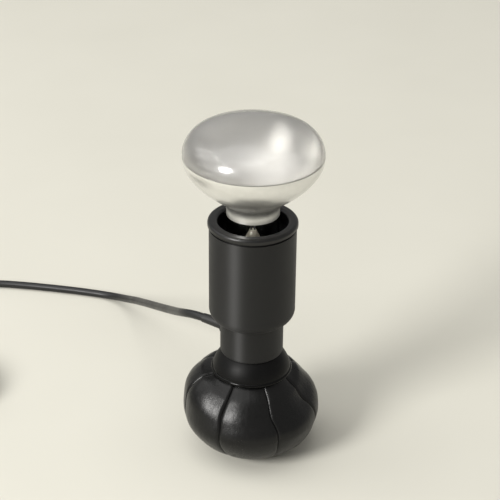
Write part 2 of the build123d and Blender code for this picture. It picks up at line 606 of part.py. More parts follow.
def bulb_line():
    """Outer line of the glass from its foot in the cap to the top of the dome."""
    foot = GLASS_FOOT_RADIUS
    neck = Polyline((foot, 0, GLASS_FOOT), (foot, 0, CAP_TOP + SLIDE_GAP), (NECK_RADIUS, 0, NECK_START),
                    (NECK_RADIUS, 0, NECK_END))
    slope = math.radians(BOWL_SLOPE_DEG)
    along = Vector(math.cos(slope), 0, math.sin(slope))
    up = Vector(0, 0, 1)
    start = Vector(NECK_RADIUS, 0, NECK_END)
    joint = Vector(BOWL_FOOT[0], 0, BOWL_FOOT[1])
    rim = Vector(BULB_RADIUS, 0, BULB_WIDEST)
    sweep_out = Bezier(start, start + up * NECK_HANDLES[0], joint - along * NECK_HANDLES[1], joint)
    bowl = Bezier(joint, joint + along * BOWL_HANDLES[0], rim - up * BOWL_HANDLES[1], rim)
    return neck, sweep_out, bowl, dome_line(0)


def inset_line(curve, distance):
    """Smooth line beside a curve that runs upwards, on its inner side."""
    return Spline(*beside(curve, distance, 8), tangents=[curve % 0, curve % 1])


def bulb_glass():
    """Blown glass of one wall thickness, open at its foot."""
    neck, sweep_out, bowl, dome = bulb_line()
    foot = GLASS_FOOT_RADIUS - GLASS
    inner = NECK_RADIUS - GLASS
    inner_neck = Polyline((foot, 0, GLASS_FOOT), (foot, 0, CAP_TOP + GLASS / 2),
                          (inner, 0, NECK_START + GLASS / 2), (inner, 0, NECK_END))
    inner_dome = dome_line(GLASS)
    top = BULB_WIDEST + DOME_HEIGHT
    foot_line = Line(inner_neck @ 0, neck @ 0)
    top_line = Line((0, 0, top), (0, 0, top - GLASS))
    pieces = [foot_line, neck, sweep_out, bowl, dome, top_line, inner_dome,
              inset_line(bowl, GLASS), inset_line(sweep_out, GLASS), inner_neck]
    wire = Wire([edge for piece in pieces for edge in piece.edges()])
    return revolve(Face(wire), Axis.Z, 360)


def mirror_coating():
    """Silvering on the inside of the neck and the bowl."""
    curves = bulb_line()[1:3]
    near = GLASS + SLIDE_GAP
    far = near + COATING
    outer = [inset_line(curve, near) for curve in curves]
    inner = [inset_line(curve, far) for curve in curves]
    skirt = Polyline(inner[0] @ 0, (NECK_RADIUS - far, 0, COATING_START),
                     (NECK_RADIUS - near, 0, COATING_START), outer[0] @ 0)
    lip = Line(outer[1] @ 1, inner[1] @ 1)
    wire = Wire([*skirt.edges(), *outer, lip, *inner])
    return revolve(Face(wire), Axis.Z, 360)


def bulb_cap():
    """Screw shell of the bulb with its rolled thread."""
    shell = tube(CAP_ROOT, CAP_ROOT - CAP_WALL, INSULATOR_TOP - SHEET, CAP_TOP)
    return shell + thread_ridge(CAP_ROOT, CAP_CREST, CAP_RIDGE, CAP_THREAD_START)


def cap_insulator():
    """Glass insulator between the shell and the tip."""
    rim = CAP_ROOT - CAP_WALL - THREAD_GAP
    return turned([(0, TIP_TOP), (TIP_RADIUS + 1, TIP_TOP), (rim, INSULATOR_TOP - SHEET),
                   (rim, INSULATOR_TOP), (0, INSULATOR_TOP)])


def cap_tip():
    """Soldered centre contact of the bulb."""
    tip = tube(TIP_RADIUS, 0, TIP, TIP_TOP)
    return fillet(rim_edges(tip, TIP_RADIUS, TIP), TIP_HEIGHT / 2)


def glass_stem():
    """Flared glass mount that seals the foot and carries the wires."""
    flare = GLASS_FOOT_RADIUS - GLASS - SLIDE_GAP
    return turned([(0, GLASS_FOOT), (flare, GLASS_FOOT), (flare, GLASS_FOOT + GLASS),
                   (STEM_RADIUS, GLASS_FOOT + flare / 2), (STEM_RADIUS, STEM_TOP - STEM_RADIUS),
                   (STEM_RADIUS / 2, STEM_TOP), (0, STEM_TOP)])


def support_wires():
    """Two stiff wires from the stem to the filament's ends."""
    wires = []
    for side in (-1, 1):
        foot = (side * STEM_RADIUS / 4, 0, STEM_TOP)
        bend = (side * STEM_RADIUS / 4, 0, STEM_TOP + STEM_RADIUS)
        end = (side * FILAMENT_SPREAD, 0, FILAMENT_HEIGHT - FILAMENT_RADIUS)
        wires.append(cord_tube("support wire", [foot, bend, end], WIRE_RADIUS))
    return wires


def filament():
    """Coiled filament as one bar, bowed over the ends of its wires."""
    end = FILAMENT_SPREAD + WIRE_RADIUS
    bow = FILAMENT_HEIGHT + WIRE_RADIUS * 4
    path = ThreePointArc((-end, 0, FILAMENT_HEIGHT), (0, 0, bow), (end, 0, FILAMENT_HEIGHT))
    section = Plane(origin=path @ 0, z_dir=path % 0) * Circle(FILAMENT_RADIUS)
    return sweep(section, path=path)


# ---- cord, gland, switch and plug ---------------------------------------------------------
def cord_gland():
    """Flanged bush in the lower tube's wall, with a tapered relief for the cord."""
    bore = CORD_RADIUS + THREAD_GAP
    flange_face = LOWER_RADIUS + GLAND_FLANGE
    mouth = LOWER_RADIUS + GLAND_LENGTH
    inner_end = LOWER_BORE - GLAND_NUT - SHEET
    root, lip = [CORD_RADIUS + wall for wall in GLAND_TAPER]
    outline = turned([(bore, inner_end), (GLAND_BARREL_RADIUS, inner_end), (GLAND_BARREL_RADIUS, LOWER_BORE),
                      (GLAND_FLANGE_RADIUS, LOWER_BORE), (GLAND_FLANGE_RADIUS, flange_face),
                      (root, flange_face), (lip, mouth), (bore, mouth)])
    exit_line = exit_place(CORD_EXIT_HEIGHT)
    saddle = tube(LOWER_RADIUS, 0, COLLAR_TOP, LOWER_TOP)
    barrel = exit_line * tube(GLAND_BARREL_RADIUS, 0, inner_end, mouth)
    return exit_line * outline - (saddle - barrel)


def gland_nut():
    """Nut that holds the gland from inside the tube."""
    face = math.sqrt(LOWER_BORE ** 2 - GLAND_NUT_RADIUS ** 2)
    nut = tube(GLAND_NUT_RADIUS, GLAND_BARREL_RADIUS + THREAD_GAP, face - GLAND_NUT, face)
    return exit_place(CORD_EXIT_HEIGHT) * nut


def cord_riser():
    """Cord from inside the lower tube, through the relief and half way down to the table."""
    start = outward(CORD_INNER_END, CORD_EXIT_HEIGHT)
    straight = outward(CORD_STRAIGHT, CORD_EXIT_HEIGHT)
    return cord_tube("cord_riser", [start, straight, *RISER_POINTS])


def switch_end(side):
    """Middle of the switch's end face, at the cord: side 1 faces the lamp's cord, -1 the plug's."""
    x, y = SWITCH_CENTRE
    return (x, y + side * SWITCH_LENGTH / 2, SWITCH_SPLIT)


def cord_lead():
    """Cord from half way down, along the table and round to the switch."""
    return cord_tube("cord_lead", [*LEAD_POINTS, switch_end(1)])


def coil_edge(x):
    """Height in Y at which the line at x meets the upper side of the coil's outer wall."""
    return math.sqrt(COIL_OUTER ** 2 - (x - COIL_CENTRE[0]) ** 2)


def cord_link():
    """Short cord from the switch into the coil."""
    x, y, high = switch_end(-1)
    swing_in, swing_out = COIL_ENTRY
    entry_x = COIL_CENTRE[0] - COIL_RADIUS
    entry_y = COIL_CENTRE[1] + coil_edge(entry_x + CORD_RADIUS) - CORD_RADIUS
    low = COIL_BOTTOM + LAID
    middle = (x + swing_out, (y + entry_y) / 2, (high + low) / 2 + swing_out)
    return cord_tube("cord_link", [(x, y, high), middle, (entry_x + swing_in, entry_y, low)]) - cord_coil()


def cord_coil():
    """The put-away turns as one ring of their outer shape."""
    ring = tube(COIL_OUTER, COIL_INNER, COIL_BOTTOM, COIL_BOTTOM + COIL_HEIGHT)
    edges = ring.edges().filter_by(GeomType.CIRCLE)
    ring = fillet([e for e in edges if e.arc_center.Z > COIL_BOTTOM + 1], CORD_RADIUS)
    return Pos(*COIL_CENTRE, 0) * ring


def coil_tie():
    """Strap round the coil's turns."""
    width, thick = TIE
    curve = COIL_INNER - math.sqrt(COIL_INNER ** 2 - (width / 2) ** 2)
    span = COIL_OUTER - COIL_INNER + 2 * (curve + SLIDE_GAP)
    height = COIL_HEIGHT + SLIDE_GAP
    band = Box(span + 2 * thick, width, height + 2 * thick, align=ON_TABLE)
    band -= Pos(0, 0, thick) * Box(span, width * 2, height, align=ON_TABLE)
    angle = math.radians(TIE_DEG)
    x = COIL_CENTRE[0] + COIL_RADIUS * math.cos(angle)
    y = COIL_CENTRE[1] + COIL_RADIUS * math.sin(angle)
    return Pos(x, y, 0) * Rot(0, 0, TIE_DEG) * band


def cord_tail():
    """Cord from the coil to the plug."""
    end = (*PLUG_TAIL, PLUG_HEIGHT / 2)
    return cord_tube("cord_tail", [*TAIL_POINTS, end]) - cord_coil() - plug_body()


def switch_place():
    """Where the switch lies: its length runs along Y."""
    return Pos(*SWITCH_CENTRE, 0) * Rot(0, 0, 90)


def rounded_block(length, width, bottom, top, corner):
    """Block with rounded upright corners."""
    outline = Plane.XY.offset(bottom) * RectangleRounded(length, width, corner)
    return extrude(outline, top - bottom)


def cord_notches():
    """Round ways for the cord at both ends of the switch."""
    bore = Rot(0, 90, 0) * Cylinder(CORD_RADIUS + THREAD_GAP, SWITCH_LENGTH * 2)
    return Pos(0, 0, SWITCH_SPLIT) * bore


def screw_places():
    """The two screws stand at opposite corners."""
    x = SWITCH_LENGTH / 2 - SCREW_INSET[0]
    y = SWITCH_WIDTH / 2 - SCREW_INSET[1]
    return [Pos(x, y, 0), Pos(-x, -y, 0)]


def switch_hollow(bottom, top):
    """Room inside the switch's walls between two heights."""
    wall = SWITCH_WALL
    return rounded_block(SWITCH_LENGTH - 2 * wall, SWITCH_WIDTH - 2 * wall, bottom, top, SWITCH_CORNER - wall)


def switch_base():
    """Lower half of the switch, with standoffs for its screws."""
    shell = rounded_block(SWITCH_LENGTH, SWITCH_WIDTH, 0, SWITCH_SPLIT, SWITCH_CORNER)
    shell -= switch_hollow(SWITCH_WALL, SWITCH_SPLIT)
    head_radius, head_height = SWITCH_SCREW_HEAD
    for place in screw_places():
        shell += place * tube(SWITCH_BOSS_RADIUS, 0, 0, SWITCH_SPLIT)
        shell -= place * tube(SWITCH_SCREW_RADIUS + SLIDE_GAP, 0, 0, SWITCH_SPLIT)
        shell -= place * tube(head_radius + SLIDE_GAP, 0, 0, head_height + SLIDE_GAP)
    return switch_place() * (shell - cord_notches())


def switch_cover():
    """Upper half of the switch, with the rocker's opening and its bearings."""
    wall = SWITCH_WALL
    shell = rounded_block(SWITCH_LENGTH, SWITCH_WIDTH, SWITCH_SPLIT, SWITCH_HEIGHT, SWITCH_CORNER)
    top_edges = shell.edges().group_by(Axis.Z)[-1]
    shell = fillet(top_edges, SWITCH_TOP_EDGE)
    ceiling = SWITCH_HEIGHT - wall
    shell -= switch_hollow(SWITCH_SPLIT, ceiling)
    cheek_length = TRUNNION_RADIUS * 4
    inside = ROCKER_WIDTH / 2 + CHEEK_GAP
    for side in (-1, 1):
        cheek = Box(cheek_length, CHEEK, ceiling - ROCKER_FLOOR + wall, align=ON_TABLE)
        shell += Pos(0, side * (inside + CHEEK / 2), ROCKER_FLOOR - TRUNNION_RADIUS) * cheek
    for place in screw_places():
        shell += place * tube(SWITCH_BOSS_RADIUS, 0, SWITCH_SPLIT, ceiling + SLIDE_GAP)
        shell -= place * tube(SWITCH_SCREW_RADIUS, 0, SWITCH_SPLIT, ceiling)
    opening = Box(ROCKER_LENGTH + 2 * ROCKER_GAP, 2 * inside, SWITCH_HEIGHT * 2)
    shell -= Pos(0, 0, SWITCH_HEIGHT + wall) * opening.moved(Location((0, 0, -wall * 2)))
    bearing = Rot(90, 0, 0) * Cylinder(TRUNNION_RADIUS + RUNNING_GAP, 2 * (inside + CHEEK))
    shell -= Pos(0, 0, ROCKER_PIVOT) * bearing
    return switch_place() * (shell - cord_notches())


def rocker():
    """Rocker with its trunnion, pressed down at one end."""
    half = ROCKER_LENGTH / 2
    middle = ROCKER_END - ROCKER_DIP
    outline = Polyline((-half, 0, ROCKER_PIVOT), (-half, 0, ROCKER_END), (0, 0, middle),
                       (half, 0, ROCKER_END), (half, 0, ROCKER_PIVOT), (TRUNNION_RADIUS, 0, ROCKER_FLOOR),
                       (-TRUNNION_RADIUS, 0, ROCKER_FLOOR), close=True)
    body = extrude(make_face(outline), ROCKER_WIDTH / 2, both=True)
    length = ROCKER_WIDTH + 2 * (CHEEK + CHEEK_GAP)
    trunnion = Pos(0, 0, ROCKER_PIVOT) * Rot(90, 0, 0) * Cylinder(TRUNNION_RADIUS, length)
    level = Pos(0, 0, -ROCKER_PIVOT) * (body + trunnion)
    return switch_place() * Pos(0, 0, ROCKER_PIVOT) * Rot(0, -ROCKER_TILT, 0) * level


def switch_screws():
    """Case screws, driven from below."""
    head_radius, head_height = SWITCH_SCREW_HEAD
    screw = tube(head_radius, 0, SLIDE_GAP, head_height)
    screw += tube(SWITCH_SCREW_RADIUS - THREAD_GAP, 0, head_height, SWITCH_HEIGHT - 2 * SWITCH_WALL)
    slot = Box(head_radius * 3, SLOT_WIDTH, head_height)
    return [switch_place() * place * (screw - slot) for place in screw_places()]


def switch_contacts():
    """Two fixed brass contacts on the switch's floor, under the rocker's ends."""
    length, width, thick = CONTACT_STRIP
    foot = Box(length, width, thick, align=ON_TABLE)
    post = Box(thick, width, ROCKER_FLOOR - CONTACT_CLEAR - SWITCH_WALL, align=ON_TABLE)
    contact = foot + Pos((length - thick) / 2, 0, 0) * post
    first = Pos(-CONTACT_PLACE, 0, SWITCH_WALL) * contact
    return [switch_place() * first, switch_place() * Rot(0, 0, 180) * first]


def plug_body():
    """Moulded plug with its strain relief, pins towards -Y."""
    block = Box(PLUG_WIDTH, PLUG_LENGTH, PLUG_HEIGHT, align=(Align.CENTER, Align.MIN, Align.MIN))
    block = fillet(block.edges().filter_by(Axis.Y), PLUG_EDGE)
    far = block.edges().group_by(Axis.Y)[-1]
    block = chamfer(far, PLUG_EDGE / 2)
    wide, narrow = [CORD_RADIUS + wall for wall in RELIEF_WALL]
    cone = Cone(wide, narrow, PLUG_RELIEF, align=ON_TABLE)
    relief = Pos(0, PLUG_LENGTH, PLUG_HEIGHT / 2) * Rot(-90, 0, 0) * cone
    plug = Pos(PLUG_TAIL[0], PLUG_FACE, 0) * (block + relief)
    for place in pin_places():
        plug -= place * Cylinder(PIN_SLEEVE_RADIUS, PIN_ROOT, align=HANGING)
    return plug


def pin_places():
    """The two pins' axes, turned to point out of the plug's face."""
    x = PLUG_TAIL[0]
    return [Pos(x + side * PIN_SPACING / 2, PLUG_FACE, PLUG_HEIGHT / 2) * Rot(90, 0, 0) for side in (-1, 1)]


def plug_pins():
    """Two round pins with domed tips, turned down inside their sleeves."""
    pins = []
    for place in pin_places():
        root = Pos(0, 0, -PIN_ROOT) * Cylinder(PIN_CORE_RADIUS, PIN_ROOT + PIN_SLEEVE, align=ON_TABLE)
        tip = Pos(0, 0, PIN_SLEEVE) * Cylinder(PIN_RADIUS, PIN_LENGTH - PIN_SLEEVE, align=ON_TABLE)
        tip = fillet(tip.edges().group_by(Axis.Z)[-1], PIN_RADIUS / 2)
        pins.append(place * (root + tip))
    return pins


def pin_sleeves():
    """Insulating sleeves over the pins' roots."""
    sleeve = tube(PIN_SLEEVE_RADIUS, PIN_CORE_RADIUS, -PIN_ROOT, PIN_SLEEVE)
    return [place * sleeve for place in pin_places()]


# ---- write every piece --------------------------------------------------------------------
PIECES = {
    "foot_disc": foot_disc,
    "shot_filling": shot_filling,
    "clamp_disc": clamp_disc,
    "clamp_nut": clamp_nut,
    "threaded_nipple": threaded_nipple,
    "bag_collar": bag_collar,
    "lower_tube": lower_tube,
    "floor_washer": floor_washer,
    "lock_nut": lock_nut,
    "housing": housing,
    "rim_ring": rim_ring,
    "holder_base": holder_base,
    "holder_body": holder_body,
    "contact_block": contact_block,
    "thread_sleeve": thread_sleeve,
    "centre_contact": centre_contact,
    "terminal_blocks": terminal_blocks,
    "terminal_screws": terminal_screws,
    "inner_leads": inner_leads,
    "bulb_glass": bulb_glass,
    "mirror_coating": mirror_coating,
    "bulb_cap": bulb_cap,
    "cap_insulator": cap_insulator,
    "cap_tip": cap_tip,
    "glass_stem": glass_stem,
    "support_wires": support_wires,
    "filament": filament,
    "cord_gland": cord_gland,
    "gland_nut": gland_nut,
    "cord_riser": cord_riser,
    "cord_lead": cord_lead,
    "cord_link": cord_link,
    "cord_coil": cord_coil,
    "coil_tie": coil_tie,
    "cord_tail": cord_tail,
    "switch_base": switch_base,
    "switch_cover": switch_cover,
    "rocker": rocker,
    "switch_screws": switch_screws,
    "switch_contacts": switch_contacts,
    "plug_body": plug_body,
    "plug_pins": plug_pins,
    "pin_sleeves": pin_sleeves,
}


def write(name, shape):
    """Write one node, as one solid or as a group of separate solids."""
    if isinstance(shape, list):
        shape = Compound(children=[solid for piece in shape for solid in piece.solids()])
    export_step(shape, f"parts/{name}.step")


os.makedirs("parts", exist_ok=True)
for name, build in PIECES.items():
    write(name, build())
for number in range(1, GORES + 1):
    write(f"leather_gore_{number}", leather_gore(number))
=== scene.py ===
"""Looks of a small table lamp: a reflector bulb in a black holder tube, clamped on a leather shot bag.

The solids come placed and in metres. The leather, the shot in it, the bulb's glass and the flexible
cord are modelled here, and every other piece gets its finish here.
"""

import logging
import math
from bisect import bisect
from dataclasses import dataclass, field
from enum import Enum
from functools import cached_property
from typing import Callable, Sequence

import bpy
from bpy.types import Material, Node, NodeSocket, NodeTree, Object
from mathutils import Matrix, Vector, noise
from mathutils.geometry import interpolate_bezier

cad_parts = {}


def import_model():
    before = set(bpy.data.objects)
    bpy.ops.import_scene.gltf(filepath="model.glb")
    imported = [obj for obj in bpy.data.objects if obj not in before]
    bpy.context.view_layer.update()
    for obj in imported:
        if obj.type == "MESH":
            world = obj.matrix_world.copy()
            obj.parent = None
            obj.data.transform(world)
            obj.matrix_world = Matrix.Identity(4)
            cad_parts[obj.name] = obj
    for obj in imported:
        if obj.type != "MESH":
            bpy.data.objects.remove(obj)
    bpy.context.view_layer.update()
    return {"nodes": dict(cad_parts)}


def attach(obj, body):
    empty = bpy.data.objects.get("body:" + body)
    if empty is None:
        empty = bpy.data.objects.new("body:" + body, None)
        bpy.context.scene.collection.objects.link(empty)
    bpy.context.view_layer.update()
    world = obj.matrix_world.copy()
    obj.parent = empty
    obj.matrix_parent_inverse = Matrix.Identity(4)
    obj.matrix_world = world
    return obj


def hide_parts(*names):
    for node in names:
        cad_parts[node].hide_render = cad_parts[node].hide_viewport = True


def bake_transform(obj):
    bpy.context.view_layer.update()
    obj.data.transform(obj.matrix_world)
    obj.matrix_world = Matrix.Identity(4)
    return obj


LOG = logging.getLogger("table_lamp")
MM = 0.001
WELD = 0.005 * MM
TINY = 1e-6

Spot = tuple[float, float]
Point = tuple[float, float, float]
Tint = tuple[float, float, float]


class Body(str, Enum):
    """Rigid groups of the lamp that a piece can ride on."""

    BAG = "bag"
    FILLING = "filling"
    HEAD = "head"
    BULB = "bulb"


class Slot(str, Enum):
    """Material slots of the lamp."""

    LEATHER = "leather"
    SHOT = "lead_shot"
    STEEL = "zinc_steel"
    LACQUER = "black_lacquer"
    RIM = "rim_plastic"
    HOLDER = "holder_plastic"
    PORCELAIN = "porcelain"
    BRASS = "brass"
    INSULATION = "wire_insulation"
    GLASS = "bulb_glass"
    SILVER = "silvering"
    CAP = "cap_metal"
    BLACK_GLASS = "black_glass"
    SOLDER = "solder"
    TUNGSTEN = "tungsten"
    CORD = "cord_vinyl"
    TIE = "tie_strap"
    SWITCH = "switch_plastic"
    PLUG = "plug_plastic"
    NICKEL = "nickel"


# ---- modelling steps ----


class Bench:
    """Modelling steps that several pieces share."""

    @staticmethod
    def clear() -> None:
        """Leave edit mode and deselect everything."""
        if bpy.context.object and bpy.context.object.mode != "OBJECT":
            bpy.ops.object.mode_set(mode="OBJECT")
        bpy.ops.object.select_all(action="DESELECT")

    @staticmethod
    def take(piece: Object) -> None:
        """Make a piece the only selected one, and the active one.

        Args:
            piece: The piece.
        """
        Bench.clear()
        piece.select_set(True)
        bpy.context.view_layer.objects.active = piece

    @staticmethod
    def edit(piece: Object) -> None:
        """Open a piece in edit mode with all of it selected.

        Args:
            piece: The piece.
        """
        Bench.take(piece)
        bpy.ops.object.mode_set(mode="EDIT")
        bpy.ops.mesh.select_all(action="SELECT")

    @staticmethod
    def spin(name: str, line: Sequence[Spot], steps: int) -> Object:
        """Draw an outline in the XZ plane, and turn it about Z into a skin that faces outwards.

        Args:
            name: Name of the new piece.
            line: Radius and height of each corner, in millimetres.
            steps: Columns of faces around the axis.

        Returns:
            The piece, with its origin at the world's.
        """
        corners = [Vector((radius * MM, 0.0, height * MM)) for radius, height in line]
        Bench.clear()
        bpy.ops.mesh.primitive_plane_add(size=MM, location=corners[0])
        piece = bpy.context.object
        piece.name = name
        bpy.ops.object.mode_set(mode="EDIT")
        bpy.ops.mesh.merge(type="CENTER")
        for here, there in zip(corners, corners[1:]):
            bpy.ops.mesh.extrude_region_move(TRANSFORM_OT_translate={"value": there - here})
        bpy.ops.object.mode_set(mode="OBJECT")
        bpy.ops.object.transform_apply(location=True, rotation=True, scale=True)
        Bench.edit(piece)
        bpy.ops.mesh.spin(steps=steps, angle=math.tau, center=(0, 0, 0), axis=(0, 0, 1))
        bpy.ops.mesh.select_all(action="SELECT")
        bpy.ops.mesh.remove_doubles(threshold=WELD)
        bpy.ops.mesh.normals_make_consistent(inside=False)
        bpy.ops.object.mode_set(mode="OBJECT")
        if sum(f.center.xy.dot(f.normal.xy) * f.area for f in piece.data.polygons) < 0:
            Bench.edit(piece)
            bpy.ops.mesh.flip_normals()
        Bench.take(piece)
        bpy.ops.object.shade_smooth()
        return piece

    @staticmethod
    def wall(piece: Object, thickness: float) -> None:
        """Give a skin its thickness on the inner side.

        Args:
            piece: The skin.
            thickness: Wall in metres.
        """
        Bench.take(piece)
        modifier = piece.modifiers.new("Wall", "SOLIDIFY")
        modifier.thickness = thickness
        modifier.offset = -1.0
        modifier.use_even_offset = False
        bpy.ops.object.modifier_apply(modifier=modifier.name)

    @staticmethod
    def finish(piece: Object, *materials: Material) -> None:
        """Give a piece its materials.

        Args:
            piece: The piece.
            materials: Its materials, in the order of its slots.
        """
        piece.data.materials.clear()
        for material in materials:
            piece.data.materials.append(material)


def held(value: float) -> float:
    """A value held between 0 and 1."""
    return max(0.0, min(1.0, value))


def eased(share: float) -> float:
    """A share held between 0 and 1, with a soft start and end."""
    share = held(share)
    return share * share * (3.0 - 2.0 * share)


def peak(value: float, middle: float, half: float) -> float:
    """1 at the middle, falling evenly to 0 at half a width from it."""
    return max(0.0, 1.0 - abs(value - middle) / half)


def hump(value: float, reach: float, middle: float, half: float) -> float:
    """A smooth hump, as high as its reach at the middle and 0 beyond half a width from it."""
    away = (value - middle) / half
    return reach * math.cos(away * math.pi / 2) ** 2 if abs(away) < 1 else 0.0


def bezier(corners: Sequence[Sequence[float]], count: int) -> list[Spot]:
    """Points of one cubic curve in the plane.

    Args:
        corners: Start, its handle, the end's handle and the end.
        count: Number of points, ends included.

    Returns:
        Radius and height of each point.
    """
    found = interpolate_bezier(*[Vector((p[0], p[1], 0.0)) for p in corners], count)
    return [(p.x, p.y) for p in found]


def smooth_line(points: Sequence[Spot], count: int) -> list[Spot]:
    """Smooth line through points in the plane.

    Args:
        points: Radius and height of the points that it passes.
        count: Steps between each two points.

    Returns:
        Radius and height of each point of the line.
    """
    spots = [Vector(p) for p in points]
    ahead = [b - a for a, b in zip(spots[:1] + spots, spots[1:] + spots[-1:])]
    line = [points[0]]
    for k, (here, there) in enumerate(zip(spots, spots[1:])):
        reach = (there - here).length / 3
        out = here + ahead[k].normalized() * reach
        back = there - ahead[k + 1].normalized() * reach
        line += bezier((here, out, back, there), count + 1)[1:]
    return line


# ---- shader tools and shared effects ----


class Tree:
    """A node tree with short ways to add and join nodes."""

    def __init__(self, tree: NodeTree) -> None:
        """Wrap a node tree."""
        self.tree = tree

    def add(self, kind: str, **settings: object) -> Node:
        """Add a node.

        Args:
            kind: Type of the node.
            settings: Attributes of the node to set.

        Returns:
            The node.
        """
        node = self.tree.nodes.new(kind)
        for name, value in settings.items():
            setattr(node, name, value)
        return node

    def feed(self, socket: NodeSocket, value: object) -> None:
        """Give a socket its value.

        Args:
            socket: The input socket.
            value: An output to join to it, or a constant to set it to.
        """
        if isinstance(value, NodeSocket):
            self.tree.links.new(value, socket)
        else:
            socket.default_value = value

    def noise(self, vector: object, scale: object, detail: float, rough: float = 0.5) -> NodeSocket:
        """Grey noise.

        Args:
            vector: Coordinates, in metres.
            scale: Lumps per metre.
            detail: Octaves.
            rough: Share that each octave keeps.

        Returns:
            The noise from 0 to 1.
        """
        node = self.add("ShaderNodeTexNoise")
        self.feed(node.inputs["Vector"], vector)
        self.feed(node.inputs["Scale"], scale)
        self.feed(node.inputs["Detail"], detail)
        self.feed(node.inputs["Roughness"], rough)
        return node.outputs["Fac"]

    def math(self, how: str, a: object, b: object = 0.0, c: object = 0.0) -> NodeSocket:
        """One arithmetic step on values.

        Args:
            how: The operation.
            a: First value.
            b: Second value.
            c: Third value, where the operation has one.

        Returns:
            The result.
        """
        node = self.add("ShaderNodeMath", operation=how)
        for socket, value in zip(node.inputs, (a, b, c)):
            self.feed(socket, value)
        return node.outputs[0]

    def blend(self, share: float, fine: object, coarse: object) -> NodeSocket:
        """Sum of two values, with the share that the fine one has in it."""
        return self.math("MULTIPLY_ADD", fine, share, self.math("MULTIPLY", coarse, 1.0 - share))

    def spread(
            self, value: object, start: float, end: float, low: object = 0.0,
            high: object = 1.0) -> NodeSocket:
        """Map a value to another range, held at both ends.

        Args:
            value: The value.
            start: Value that becomes low.
            end: Value that becomes high.
            low: Start of the new range.
            high: End of the new range.

        Returns:
            The mapped value.
        """
        node = self.add("ShaderNodeMapRange")
        ends = {"Value": value, "From Min": start, "From Max": end, "To Min": low, "To Max": high}
        for name, what in ends.items():
            self.feed(node.inputs[name], what)
        return node.outputs["Result"]

    def mix(self, share: object, a: object, b: object) -> NodeSocket:
        """Mix of two colours.

        Args:
            share: Share of the second, from 0 to 1.
            a: First colour.
            b: Second colour.

        Returns:
            The colour.
        """
        node = self.add("ShaderNodeMix", data_type="RGBA")
        for index, value in ((0, share), (6, a), (7, b)):
            self.feed(node.inputs[index], value)
        return node.outputs[2]

    def stretch(self, vector: object, scale: Sequence[float]) -> NodeSocket:
        """Stretch coordinates along the axes.

        Args:
            vector: The coordinates.
            scale: Factor on each axis.

        Returns:
            The new coordinates.
        """
        node = self.add("ShaderNodeMapping")
        self.feed(node.inputs["Vector"], vector)
        node.inputs["Scale"].default_value = scale
        return node.outputs["Vector"]


